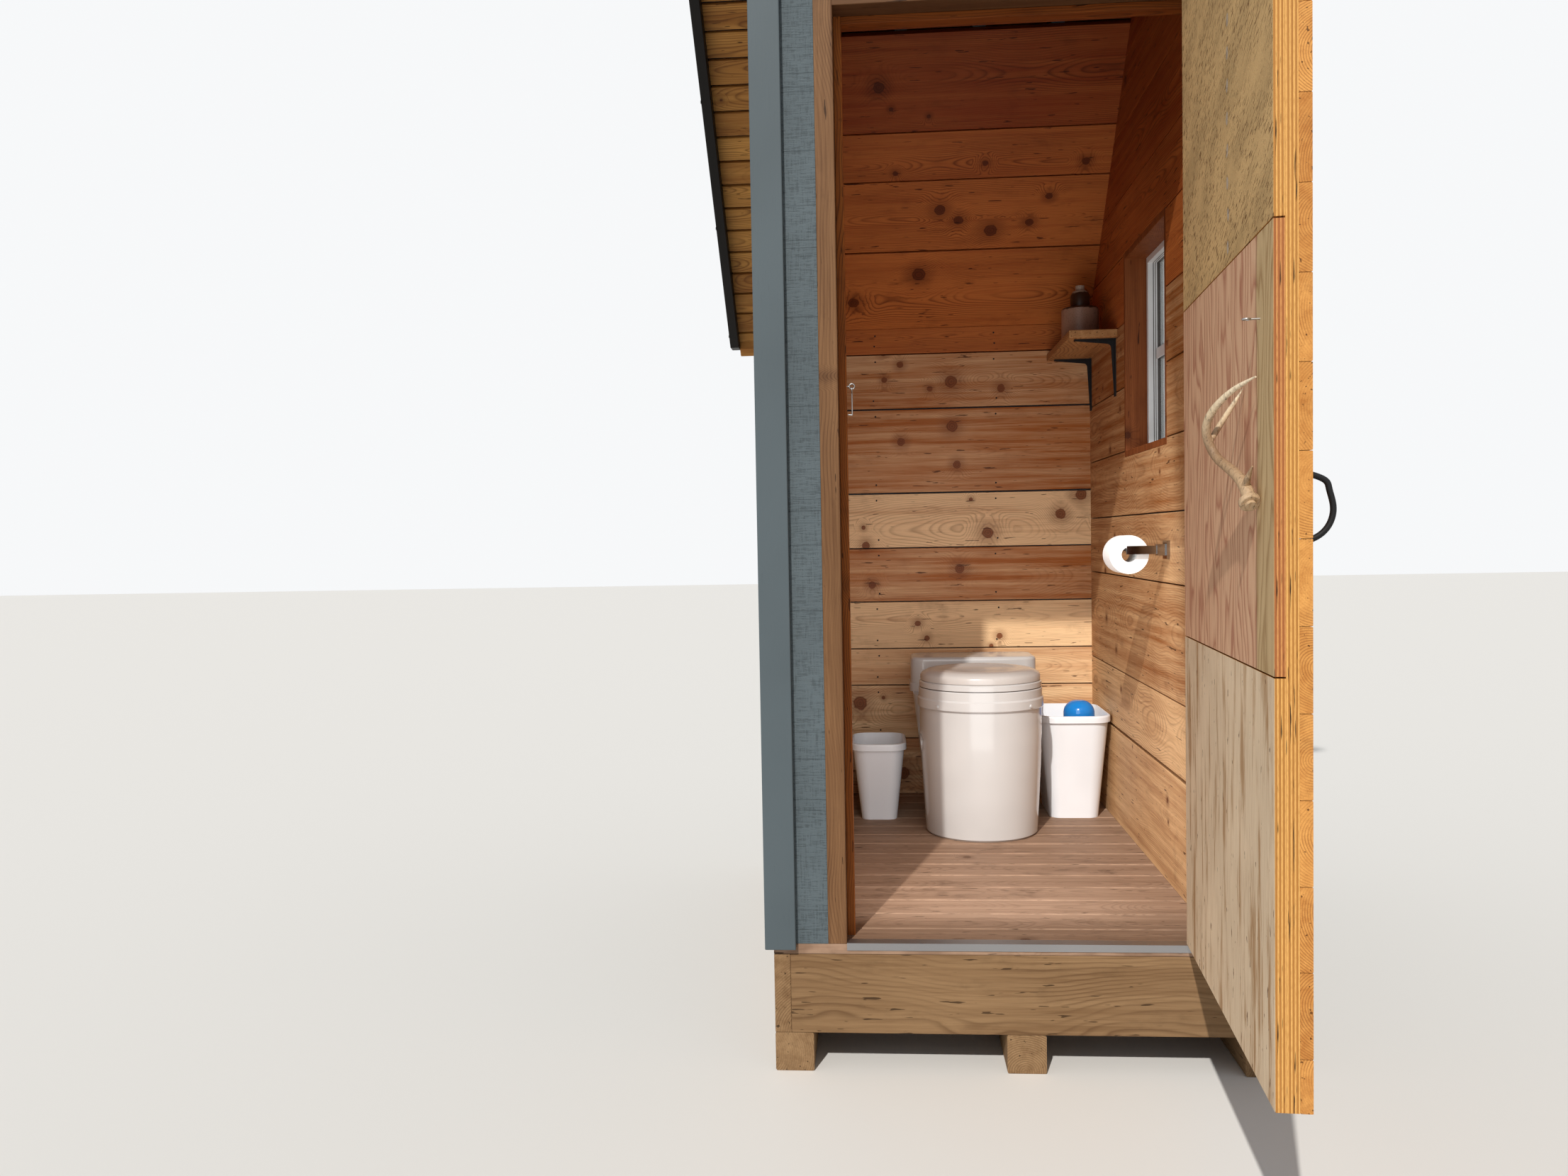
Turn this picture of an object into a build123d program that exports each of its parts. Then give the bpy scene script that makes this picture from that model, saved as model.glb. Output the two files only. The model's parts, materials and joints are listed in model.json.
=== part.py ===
from build123d import *
import math
import os

# Wooden outhouse. Millimetres, X right, Y back, Z up, ground at Z 0.
# The front faces -Y and the origin lies on the ground in the middle of the plan.

# Plan and walls
OPENING_WIDTH = 832
LEFT_OF_DOOR = 169
RIGHT_OF_DOOR = 151
BODY_WIDTH = LEFT_OF_DOOR + OPENING_WIDTH + RIGHT_OF_DOOR
BODY_DEPTH = 1808
SIDING = 16
STUD = 98
LINING = 25
WALL = SIDING + STUD + LINING
TRIM = 19
TRIM_WIDTH = 71
TRIM_DROP = 10

# Base
SKID = 89
JOIST_HEIGHT = 184
JOIST_THICK = 38
JOIST_PITCH = 400
FLOOR_BOARD = 25

# Roof
ROOF_PITCH = 45
BACK_HEIGHT = 1683
DECK = 19
SHEET = 3
RIB_HEIGHT = 20
RIB_WIDTH = 12
RIBS = 5
RAKE_OVERHANG = 253
FRONT_OVERHANG = 250
BACK_OVERHANG = 42
FASCIA = 32
FASCIA_DROP = 45
CROSS_FASCIA = 25
RAFTER_THICK = 38

# Doorway and door
JAMB_LEFT = LEFT_OF_DOOR - BODY_WIDTH / 2
OPENING_HEIGHT = 2122
JAMB = 43
STOP_WIDTH = 18
STOP_DEPTH = 38
DOOR_GAP = 5
DOOR_BOTTOM = 8
DOOR_BOARDS = 20
DOOR_CORE = 20
DOOR_PLY = 18
PANEL_SEAMS = (703, 1417)
SEAM = 1
KNUCKLE = 6
KNUCKLE_OUT = 8
DOOR_ANGLE = 85.6
HINGE_HEIGHTS = (230, 1060, 1890)
HINGE_LENGTH = 100
KNUCKLE_GAP = 0.3
STRAP = 3
LEAF_ON_DOOR = 70
LEAF_ON_JAMB = 42

# Window in the right wall
WINDOW_FRONT = -377
WINDOW_BACK = 136
WINDOW_SILL = 1183
WINDOW_HEAD = 1762
REVEAL = 19
REVEAL_DEPTH = 65
VINYL = 36
GLASS = 4

# Derived places
HALF_W = BODY_WIDTH / 2
HALF_D = BODY_DEPTH / 2
IN_X = HALF_W - WALL
IN_Y = HALF_D - WALL
FRAME_X = IN_X + LINING
FRAME_Y = IN_Y + LINING
FLOOR = SKID + JOIST_HEIGHT + FLOOR_BOARD
TAN = math.tan(math.radians(ROOF_PITCH))
COS = math.cos(math.radians(ROOF_PITCH))
JAMB_RIGHT = JAMB_LEFT + OPENING_WIDTH
HEAD = FLOOR + OPENING_HEIGHT
DOOR_THICK = DOOR_BOARDS + DOOR_CORE + DOOR_PLY
FRONT = -HALF_D
DECK_OFFSET = (LINING + STUD) / COS
HINGE_X = JAMB_RIGHT - DOOR_GAP / 2
HINGE_Y = FRONT - KNUCKLE_OUT


def box(x0, x1, y0, y1, z0, z1):
    size = Box(x1 - x0, y1 - y0, z1 - z0)
    return Pos((x0 + x1) / 2, (y0 + y1) / 2, (z0 + z1) / 2) * size


def rod(start, end, radius):
    path = Line(start, end)
    circle = Plane(origin=path @ 0, z_dir=path % 0) * Circle(radius)
    return sweep(circle, path=path)


def slope_z(y, offset=0):
    """Height of the ceiling's underside, plus a plumb offset, at depth y."""
    return FLOOR + BACK_HEIGHT + (IN_Y - y) * TAN + offset


def side_profile(points, x0, x1):
    """A solid along X from a profile of (y, z) points."""
    face = Plane.YZ * make_face(Polyline(*points, close=True))
    return Pos(x0, 0, 0) * extrude(face, x1 - x0, dir=(1, 0, 0))


def roof_layer(x0, x1, y0, y1, offset, thick):
    rise = thick / COS
    points = (
        (y0, slope_z(y0, offset)),
        (y1, slope_z(y1, offset)),
        (y1, slope_z(y1, offset + rise)),
        (y0, slope_z(y0, offset + rise)),
    )
    return side_profile(points, x0, x1)


def wall_block(x0, x1, y0, y1, z0, offset):
    """A wall between plumb faces whose top follows the roof slope."""
    points = ((y0, z0), (y1, z0), (y1, slope_z(y1, offset)), (y0, slope_z(y0, offset)))
    return side_profile(points, x0, x1)


def skids():
    spots = (-HALF_W + SKID / 2, 0, HALF_W - SKID / 2)
    return Compound([box(x - SKID / 2, x + SKID / 2, -HALF_D, HALF_D, 0, SKID) for x in spots])


def rim_boards():
    z1 = SKID + JOIST_HEIGHT
    inner = HALF_W - JOIST_THICK
    left = box(-HALF_W, -inner, -HALF_D, HALF_D, SKID, z1)
    right = box(inner, HALF_W, -HALF_D, HALF_D, SKID, z1)
    return Compound([left, right])


def floor_joists():
    """Joists between the rim boards, the first and last flush with the ends."""
    z1 = SKID + JOIST_HEIGHT
    x1 = HALF_W - JOIST_THICK
    run = BODY_DEPTH - JOIST_THICK
    bays = math.ceil(run / JOIST_PITCH)
    fronts = [-HALF_D + number * run / bays for number in range(bays + 1)]
    return Compound([box(-x1, x1, y, y + JOIST_THICK, SKID, z1) for y in fronts])


def floor_boards():
    return box(-HALF_W, HALF_W, -HALF_D, HALF_D, FLOOR - FLOOR_BOARD, FLOOR)


def threshold_strip():
    leg = box(JAMB_LEFT, JAMB_RIGHT, FRONT - 2, FRONT + 30, FLOOR, FLOOR + 2)
    lip = box(JAMB_LEFT, JAMB_RIGHT, FRONT - 2, FRONT, FLOOR - 15, FLOOR)
    return leg + lip


def front_walls():
    left = wall_block(-HALF_W, JAMB_LEFT - JAMB, FRONT, -IN_Y, FLOOR, DECK_OFFSET)
    right = wall_block(JAMB_RIGHT + JAMB, HALF_W, FRONT, -IN_Y, FLOOR, DECK_OFFSET)
    over = wall_block(JAMB_LEFT - JAMB, JAMB_RIGHT + JAMB, FRONT, -IN_Y, HEAD + JAMB, DECK_OFFSET)
    return Compound([left, right]), over


def window_cut(x0, x1, grow):
    return box(
        x0,
        x1,
        WINDOW_FRONT - grow,
        WINDOW_BACK + grow,
        FLOOR + WINDOW_SILL - grow,
        FLOOR + WINDOW_HEAD + grow,
    )


def side_walls():
    left = wall_block(-HALF_W, -FRAME_X, -IN_Y, FRAME_Y, FLOOR, DECK_OFFSET)
    right = wall_block(FRAME_X, HALF_W, -IN_Y, FRAME_Y, FLOOR, DECK_OFFSET)
    return left, right - window_cut(FRAME_X - 1, HALF_W + 1, REVEAL)


def back_wall():
    return wall_block(-HALF_W, HALF_W, FRAME_Y, HALF_D, FLOOR, DECK_OFFSET)


def side_linings():
    left = wall_block(-FRAME_X, -IN_X, -IN_Y, IN_Y, FLOOR, 0)
    right = wall_block(IN_X, FRAME_X, -IN_Y, IN_Y, FLOOR, 0)
    return Compound([left, right - window_cut(IN_X - 1, FRAME_X + 1, REVEAL)])


def back_lining():
    return wall_block(-FRAME_X, FRAME_X, IN_Y, FRAME_Y, FLOOR, 0)


def ceiling_lining():
    return roof_layer(-FRAME_X, FRAME_X, -IN_Y, FRAME_Y, 0, LINING)


def rafters():
    gap = 2 * FRAME_X / 4
    spots = (-gap, 0, gap)
    half = RAFTER_THICK / 2
    lift = LINING / COS
    return Compound([roof_layer(x - half, x + half, -IN_Y, FRAME_Y, lift, STUD) for x in spots])


def corner_trim(side, end):
    """An L of two painted boards round one corner, cut to the roof slope."""
    z0 = FLOOR - TRIM_DROP
    outer_x = side * (HALF_W + TRIM)
    inner_x = side * (HALF_W + TRIM - TRIM_WIDTH)
    wall_x = side * HALF_W
    outer_y = end * (HALF_D + TRIM)
    inner_y = end * (HALF_D + TRIM - TRIM_WIDTH)
    wall_y = end * HALF_D
    xs = sorted((outer_x, inner_x))
    ys = sorted((outer_y, wall_y))
    face = wall_block(xs[0], xs[1], ys[0], ys[1], z0, DECK_OFFSET)
    xs = sorted((outer_x, wall_x))
    ys = sorted((wall_y, inner_y))
    return face + wall_block(xs[0], xs[1], ys[0], ys[1], z0, DECK_OFFSET)


def window_trim():
    outer = window_cut(HALF_W, HALF_W + TRIM, TRIM_WIDTH)
    return outer - window_cut(HALF_W, HALF_W + TRIM, REVEAL)


def painted_trims():
    corners = [corner_trim(side, end) for side in (-1, 1) for end in (-1, 1)]
    return Compound(corners + [window_trim()])


def roof_edges():
    y0 = FRONT - FRONT_OVERHANG
    y1 = HALF_D + BACK_OVERHANG
    x1 = HALF_W + RAKE_OVERHANG
    return y0, y1, x1


def roof_deck():
    y0, y1, x1 = roof_edges()
    return roof_layer(-x1, x1, y0, y1, DECK_OFFSET, DECK)


def rake_fascias():
    y0, y1, x1 = roof_edges()
    y0 -= CROSS_FASCIA
    y1 += CROSS_FASCIA
    low = DECK_OFFSET - FASCIA_DROP / COS
    high = DECK + FASCIA_DROP
    left = roof_layer(-x1 - FASCIA, -x1, y0, y1, low, high)
    right = roof_layer(x1, x1 + FASCIA, y0, y1, low, high)
    return Compound([left, right])


def cross_fascias():
    y0, y1, x1 = roof_edges()
    low = DECK_OFFSET - 24
    high = DECK + 24 * COS
    front = roof_layer(-x1, x1, y0 - CROSS_FASCIA, y0, low, high)
    back = roof_layer(-x1, x1, y1, y1 + CROSS_FASCIA, low, high)
    return Compound([front, back])


def roof_sheet():
    y0, y1, x1 = roof_edges()
    y0 -= CROSS_FASCIA
    y1 += CROSS_FASCIA
    x1 += FASCIA
    base = DECK_OFFSET + DECK / COS
    sheet = roof_layer(-x1, x1, y0, y1, base, SHEET)
    step = (2 * x1 - RIB_WIDTH) / (RIBS - 1)
    for number in range(RIBS):
        x = -x1 + number * step
        sheet += roof_layer(x, x + RIB_WIDTH, y0, y1, base + SHEET / COS, RIB_HEIGHT)
    return sheet


def door_frame():
    z0 = FLOOR
    frame = box(JAMB_LEFT - JAMB, JAMB_LEFT, FRONT, -IN_Y, z0, HEAD + JAMB)
    frame += box(JAMB_RIGHT, JAMB_RIGHT + JAMB, FRONT, -IN_Y, z0, HEAD + JAMB)
    frame += box(JAMB_LEFT, JAMB_RIGHT, FRONT, -IN_Y, HEAD, HEAD + JAMB)
    y0 = FRONT + DOOR_THICK + DOOR_GAP
    y1 = y0 + STOP_DEPTH
    frame += box(JAMB_LEFT, JAMB_LEFT + STOP_WIDTH, y0, y1, z0, HEAD)
    frame += box(JAMB_RIGHT - STOP_WIDTH, JAMB_RIGHT, y0, y1, z0, HEAD)
    frame += box(JAMB_LEFT, JAMB_RIGHT, y0, y1, HEAD - STOP_WIDTH, HEAD)
    return frame


def door_block(y0, y1, z0, z1):
    return box(JAMB_LEFT + DOOR_GAP, JAMB_RIGHT - DOOR_GAP, y0, y1, z0, z1)


def door_layers():
    z0 = FLOOR + DOOR_BOTTOM
    z1 = HEAD - DOOR_GAP
    boards = door_block(FRONT, FRONT + DOOR_BOARDS, z0, z1)
    y0 = FRONT + DOOR_BOARDS
    core = door_block(y0, y0 + DOOR_CORE, z0, z1)
    y0 += DOOR_CORE
    y1 = y0 + DOOR_PLY
    low, high = (FLOOR + seam for seam in PANEL_SEAMS)
    bottom = door_block(y0, y1, z0, low - SEAM)
    middle = door_block(y0, y1, low, high - SEAM)
    top = door_block(y0, y1, high, z1)
    return boards, core, top, middle, bottom


# Antler handle, places from its own zero: along the door, out of it, up from the floor
ANTLER_X = JAMB_LEFT + DOOR_GAP + 128
ANTLER_Y = FRONT + DOOR_THICK
BURR = (-33, 16, 980)
BURR_RADIUS = 17.5
BURR_THICK = 11
BEAM = ((10, 23, 1021), (58, 37, 1046), (92, 50, 1071), (86, 62, 1106), (54, 55, 1141), (4, 29, 1170))
BEAM_TIP = (-43, 8, 1182)
BEAM_RADII = (11, 10, 8.8, 8, 7.6, 6.2, 4.6, 1.4)
TINE = ((90, 55, 1088), (97, 38, 1116), (91, 21, 1144), (80, 2.5, 1177))
TINE_RADII = (5, 5.2, 4.4, 1.2)
BROW = ((-12, 19, 1001), (-34, 18, 1022), (-51, 15, 1037))
BROW_RADII = (7.5, 5, 1.4)


def on_antler(spot):
    return (ANTLER_X + spot[0], ANTLER_Y + spot[1], FLOOR + spot[2])


def horn(spots, radii):
    """A tapering round limb that follows a smooth line through the spots."""
    path = Spline(*[on_antler(spot) for spot in spots])
    halfway = [(first + second) / 2 for first, second in zip(radii, radii[1:])]
    steps = [radius for pair in zip(radii, halfway) for radius in pair] + [radii[-1]]
    last = len(steps) - 1
    return loft([
        Plane(origin=path @ (number / last), z_dir=path % (number / last)) * Circle(radius)
        for number, radius in enumerate(steps)
    ])


def antler_handle():
    """Burr flat on the door, the beam bowing out and back, a long tine down to the door."""
    beam = horn((BURR,) + BEAM + (BEAM_TIP,), BEAM_RADII)
    burr_plane = Plane(origin=on_antler(BURR), z_dir=Vector(*BEAM[0]) - Vector(*BURR))
    burr = burr_plane * Cylinder(BURR_RADIUS, BURR_THICK)
    burr = fillet(burr.edges().filter_by(GeomType.CIRCLE), BURR_THICK / 4)
    stump = burr_plane * Pos(0, 0, -BURR_THICK / 2) * Cylinder(BURR_RADIUS / 2, BURR_THICK)
    antler = beam + burr + stump + horn(TINE, TINE_RADII) + horn(BROW, BROW_RADII)
    low = antler.bounding_box().min
    high = antler.bounding_box().max
    return antler - box(low.X - 1, high.X + 1, low.Y - 1, ANTLER_Y, low.Z - 1, high.Z + 1)


LATCH_X = JAMB_LEFT + STOP_WIDTH
LATCH_Y = FRONT + 79
LATCH_HEIGHT = 1284
LATCH_Z = FLOOR + LATCH_HEIGHT
RING = 6
WIRE = 1.6
HOOK_LENGTH = 66
HOOK_TIP = 10


def ring(x, y, z, axis):
    loop = Torus(RING, WIRE)
    turn = {"x": Rot(0, 90, 0), "y": Rot(90, 0, 0), "z": Rot(0, 0, 0)}[axis]
    return Pos(x, y, z) * turn * loop


def hook_eye():
    x = LATCH_X + 12
    shank = rod((LATCH_X, LATCH_Y, LATCH_Z), (x - RING, LATCH_Y, LATCH_Z), WIRE)
    return shank + ring(x, LATCH_Y, LATCH_Z, "y")


def latch_hook():
    x = LATCH_X + 12
    top = LATCH_Z - 2 * RING + 2 * WIRE + 0.3
    loop = ring(x, LATCH_Y, top, "x")
    neck = top - RING
    foot = LATCH_Z - HOOK_LENGTH
    shank = rod((x, LATCH_Y, neck), (x, LATCH_Y, foot), WIRE)
    tip = rod((x, LATCH_Y, foot), (x - HOOK_TIP, LATCH_Y, foot + 1), WIRE)
    return loop + shank + tip + Pos(x, LATCH_Y, foot) * Sphere(WIRE)


def screw_eye():
    """The eye on the door that the hook drops into when the door is shut."""
    x = LATCH_X + 12 + HOOK_LENGTH
    face = FRONT + DOOR_THICK
    z = LATCH_Z - 8
    shank = rod((x, face, z), (x, LATCH_Y - RING, z), WIRE)
    return shank + ring(x, LATCH_Y, z, "z")


def outer_pull():
    x = JAMB_LEFT + DOOR_GAP + 60
    z0 = FLOOR + 915
    z1 = FLOOR + 1023
    reach = FRONT - 46
    path = Spline(
        (x, FRONT - 6, z0),
        (x, reach + 6, z0 + 26),
        (x, reach, (z0 + z1) / 2),
        (x, reach + 6, z1 - 26),
        (x, FRONT - 6, z1),
        tangents=((0, -1, 0.3), (0, 1, 0.3)),
    )
    grip = sweep(Plane(origin=path @ 0, z_dir=path % 0) * Circle(5), path=path)
    plates = box(x - 14, x + 14, FRONT - 4, FRONT, z0 - 22, z0 + 12)
    plates += box(x - 14, x + 14, FRONT - 4, FRONT, z1 - 12, z1 + 22)
    for z in (z0, z1):
        grip += Pos(x, FRONT - 5, z) * Rot(90, 0, 0) * Cylinder(6, 4)
    return grip + plates


def hinge_half(z, on_door):
    """One butt hinge half: a leaf on the face and its share of the knuckles."""
    z0 = z - HINGE_LENGTH / 2
    third = HINGE_LENGTH / 3
    play = KNUCKLE_GAP / 2
    inset = KNUCKLE + 1
    if on_door:
        half = box(HINGE_X - LEAF_ON_DOOR, HINGE_X - inset, FRONT - STRAP, FRONT, z0, z0 + HINGE_LENGTH)
        spans = ((z0 + third + play, z0 + 2 * third - play),)
        arm = (HINGE_X - inset - STRAP, HINGE_X)
    else:
        half = box(HINGE_X + inset, HINGE_X + LEAF_ON_JAMB, FRONT - STRAP, FRONT, z0, z0 + HINGE_LENGTH)
        spans = ((z0, z0 + third - play), (z0 + 2 * third + play, z0 + HINGE_LENGTH))
        arm = (HINGE_X, HINGE_X + inset + STRAP)
    for low, high in spans:
        half += Pos(HINGE_X, HINGE_Y, (low + high) / 2) * Cylinder(KNUCKLE, high - low)
        half += box(arm[0], arm[1], HINGE_Y + 2, FRONT, low, high)
    return half


def hinge_set(on_door):
    return Compound([hinge_half(FLOOR + z, on_door) for z in HINGE_HEIGHTS])


def open_door(shape):
    """Turn a closed door piece to the angle it stands open at."""
    place = Pos(HINGE_X, HINGE_Y, 0)
    return place * Rot(0, 0, DOOR_ANGLE) * place.inverse() * shape


def window_reveal():
    x0 = IN_X
    x1 = IN_X + REVEAL_DEPTH
    return window_cut(x0, x1, REVEAL) - window_cut(x0 - 1, x1 + 1, 0)


def window_frame():
    x0 = IN_X + REVEAL_DEPTH
    x1 = HALF_W + 4
    outer = window_cut(x0, x1, REVEAL)
    outer -= window_cut(x0 - 1, x1 + 1, -VINYL + REVEAL)
    middle = (WINDOW_SILL + WINDOW_HEAD) / 2 + FLOOR
    rail = box(
        x0 + 24,
        x0 + 52,
        WINDOW_FRONT + VINYL - REVEAL,
        WINDOW_BACK - VINYL + REVEAL,
        middle - 16,
        middle + 16,
    )
    return outer + rail


def window_glass():
    x = IN_X + REVEAL_DEPTH + 38
    middle = (WINDOW_SILL + WINDOW_HEAD) / 2 + FLOOR
    pane = window_cut(x - GLASS / 2, x + GLASS / 2, -VINYL + REVEAL)
    return pane - box(x - 20, x + 20, WINDOW_FRONT, WINDOW_BACK, middle - 16, middle + 16)


SHELF_DEPTH = 150
SHELF_FRONT = 249
SHELF_BELOW_CREASE = 111
SHELF_TOP = BACK_HEIGHT - SHELF_BELOW_CREASE
SHELF_THICK = 24
BRACKET_WIDTH = 22
BRACKET_ARM = 128
BRACKET_LEG = 182
ARM_DEPTH = 17
LEG_DEPTH = 14
BRACKET_CURVE = 14
IRON = 4


def shelf():
    z1 = FLOOR + SHELF_TOP
    return box(IN_X - SHELF_DEPTH, IN_X, SHELF_FRONT, IN_Y, z1 - SHELF_THICK, z1)


def shelf_bracket(y):
    """Two flat iron legs, stiffened by a rib that tapers from the corner to both tips."""
    z = FLOOR + SHELF_TOP - SHELF_THICK
    x = IN_X
    half = BRACKET_WIDTH / 2
    arm = box(x - BRACKET_ARM, x, y - half, y + half, z - IRON, z)
    leg = box(x - IRON, x, y - half, y + half, z - BRACKET_LEG, z)
    inner = (x - LEG_DEPTH, z - ARM_DEPTH)
    outline = (
        (x, z),
        (x - BRACKET_ARM, z),
        (x - BRACKET_ARM, z - IRON - 1),
        inner,
        (x - IRON - 1, z - BRACKET_LEG),
        (x, z - BRACKET_LEG),
    )
    face = make_face(Polyline(*outline, close=True))
    corner = face.vertices().sort_by_distance(inner)[0]
    rib = extrude(Plane.XZ * fillet(corner, BRACKET_CURVE), IRON / 2, both=True)
    return arm + leg + Pos(0, y, 0) * rib


def shelf_brackets():
    return Compound([shelf_bracket(SHELF_FRONT + 41), shelf_bracket(IN_Y - 30)])


def revolved(points, x, y, z):
    """A turned solid from (radius, height) points."""
    face = Plane.XZ * make_face(Polyline(*points, close=True))
    return Pos(x, y, z) * revolve(face, Axis.Z)


def soap_jar():
    z = FLOOR + SHELF_TOP
    profile = (
        (0, 0), (58, 0), (61, 4), (61, 102), (56, 108), (34, 110), (32, 113),
        (32, 148), (24, 163), (15, 166), (15, 181), (0, 181),
    )
    return revolved(profile, IN_X - 78, SHELF_FRONT + 231, z)


ROLL_X = IN_X - 98
ROLL_Y = -394
SPINDLE_Z = FLOOR + 887
ROLL_OUT = 51
ROLL_CORE = 20
SPINDLE = 8


def paper_holder():
    y = ROLL_Y - 8
    z = SPINDLE_Z
    base = box(IN_X - 8, IN_X, y - 24, y + 24, z - 24, z + 24)
    base += box(IN_X - 30, IN_X - 8, y - 12, y + 12, z - 15, z + 15)
    arm = box(ROLL_X - 9, IN_X - 30, y - 6, y + 2, z - 11, z + 11)
    spindle = rod((ROLL_X, y, z), (ROLL_X, ROLL_Y + 112, z), SPINDLE)
    return base + arm + spindle


def paper_roll():
    z = SPINDLE_Z + SPINDLE + 0.3 - ROLL_CORE
    tube = Cylinder(ROLL_OUT, 100) - Cylinder(ROLL_CORE, 102)
    return Pos(ROLL_X, ROLL_Y + 50 + 1, z) * Rot(90, 0, 0) * tube


BOWL_X = -7
BOWL_Y = 206
FOOT_R = 174
BODY_R = 190
HOLE_R = 128
SUMP_R = 95
BOWL_RIM = 399
SUMP_FLOOR = 120
BAND_R = 196.5
BAND_LIP = 28
SEAM_GROOVE = 1.5
SEAT_RING = 21
SEAT_R = 187
SEAT_TOP = 480
LID_THICK = 36
LID_EDGE = 16
LID_GAP = 0.3
LID_PIN = 8
LID_HINGE_Y = BOWL_Y + BAND_R - 6 + LID_PIN + LID_GAP
KNUCKLE_X = 62
KNUCKLE_WIDTH = 28
HOUSING_FOOT = 316
HOUSING_TOP = 408
HOUSING_DEPTH = 290
HOUSING_FOOT_DEPTH = 230
HOUSING_FRONT = 150
HOUSING_CORNER = 44
CAP_WIDTH = 420
CAP_DEPTH = 200
LEDGE_HEIGHT = 410
LEDGE_DEEP = 27
LEDGE_OUT = 4
CAP_TOP = 525
GRIP_HEIGHT = 285
GRIP_R = 27
GRIP_DEEP = 7


def toilet_body():
    z = FLOOR
    profile = (
        (0, 0), (FOOT_R - 6, 0), (FOOT_R, 6), (FOOT_R + 6, 100), (BODY_R - 4, 210),
        (BODY_R, 300), (BODY_R, BOWL_RIM), (HOLE_R, BOWL_RIM), (HOLE_R - 8, BOWL_RIM - 41),
        (SUMP_R, SUMP_FLOOR), (0, SUMP_FLOOR),
    )
    bowl = revolved(profile, BOWL_X, BOWL_Y, z)
    for side in (-1, 1):
        grip = Pos(BOWL_X + side * BODY_R, BOWL_Y - GRIP_R, z + GRIP_HEIGHT) * Rot(0, 90, 0)
        bowl -= grip * Cylinder(GRIP_R, 2 * GRIP_DEEP)
    return bowl + toilet_back()


def toilet_back():
    """The moulded housing behind the bowl, narrowing to the floor, with a ledged cap."""
    y1 = BOWL_Y + HOUSING_FRONT + HOUSING_DEPTH
    middle = y1 - HOUSING_DEPTH / 2
    foot = RectangleRounded(HOUSING_FOOT, HOUSING_FOOT_DEPTH, HOUSING_CORNER - 4)
    top = RectangleRounded(HOUSING_TOP, HOUSING_DEPTH, HOUSING_CORNER)
    low = Plane.XY.offset(FLOOR) * Pos(BOWL_X, middle) * foot
    high = Plane.XY.offset(FLOOR + LEDGE_HEIGHT) * Pos(BOWL_X, middle) * top
    body = loft([low, high])
    hollow = (LEDGE_HEIGHT - SUMP_FLOOR) / 2
    body -= Pos(BOWL_X, BOWL_Y, FLOOR + SUMP_FLOOR + hollow) * Cylinder((HOLE_R + BODY_R) / 2, 2 * hollow)
    lift = CAP_TOP - BOWL_RIM
    body -= Pos(BOWL_X, BOWL_Y, FLOOR + BOWL_RIM + lift / 2) * Cylinder(BAND_R + 4, lift)
    y = y1 + 5 - CAP_DEPTH / 2
    cap_face = RectangleRounded(CAP_WIDTH, CAP_DEPTH, HOUSING_CORNER)
    cap = Pos(BOWL_X, y, FLOOR + LEDGE_HEIGHT) * extrude(cap_face, CAP_TOP - LEDGE_HEIGHT)
    cap = fillet(cap.faces().sort_by(Axis.Z)[-1].edges(), 12)
    ledge_face = RectangleRounded(CAP_WIDTH + 2 * LEDGE_OUT, CAP_DEPTH, HOUSING_CORNER)
    ledge = Pos(BOWL_X, y, FLOOR + LEDGE_HEIGHT) * extrude(ledge_face, LEDGE_DEEP)
    ledge = fillet(ledge.faces().sort_by(Axis.Z)[-1].edges(), LEDGE_OUT - 1)
    return body + cap + ledge


def toilet_seat():
    """A wide band with a lip, a groove, and the seat ring on top."""
    z = FLOOR + BOWL_RIM
    height = SEAT_TOP - BOWL_RIM
    step = height - SEAT_RING
    profile = (
        (HOLE_R, 0), (BAND_R - 2, 0), (BAND_R, 3), (BAND_R, BAND_LIP), (BAND_R - 4, BAND_LIP + 5),
        (BAND_R - 4, step - 3), (BAND_R - 6, step), (SEAT_R, step), (SEAT_R, step + SEAM_GROOVE),
        (BAND_R - 6, step + SEAM_GROOVE), (BAND_R - 6, height - 3), (BAND_R - 10, height),
        (HOLE_R + 10, height), (HOLE_R - 4, height - 12),
    )
    seat = revolved(profile, BOWL_X, BOWL_Y, z)
    y = LID_HINGE_Y
    half = KNUCKLE_WIDTH / 2
    for side in (-1, 1):
        x = BOWL_X + side * KNUCKLE_X
        seat += box(x - half, x + half, y - 22, y + LID_PIN, z + height / 2, FLOOR + SEAT_TOP - 4)
        seat += Pos(x, y, FLOOR + SEAT_TOP) * Rot(0, 90, 0) * Cylinder(LID_PIN, KNUCKLE_WIDTH)
    return seat


def toilet_lid():
    """The domed lid with a barrel that turns between the seat's two knuckles."""
    z = FLOOR + SEAT_TOP
    profile = (
        (0, 0), (SEAT_R - 2, 0), (SEAT_R, 3), (SEAT_R, LID_EDGE), (SEAT_R - 5, LID_EDGE + 8),
        (SEAT_R - 22, LID_THICK - 3), (SEAT_R - 45, LID_THICK), (SEAT_R - 70, LID_THICK),
        (SEAT_R - 78, LID_THICK - 3), (0, LID_THICK - 3),
    )
    lid = revolved(profile, BOWL_X, BOWL_Y, z + LID_GAP)
    y = LID_HINGE_Y
    half = KNUCKLE_X - KNUCKLE_WIDTH / 2 - LID_GAP
    lid += Pos(BOWL_X, y, z) * Rot(0, 90, 0) * Cylinder(LID_PIN, 2 * half)
    return lid + box(BOWL_X - half, BOWL_X + half, y - 2 * LID_PIN, y, z + LID_GAP, z + LID_PIN)


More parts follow.
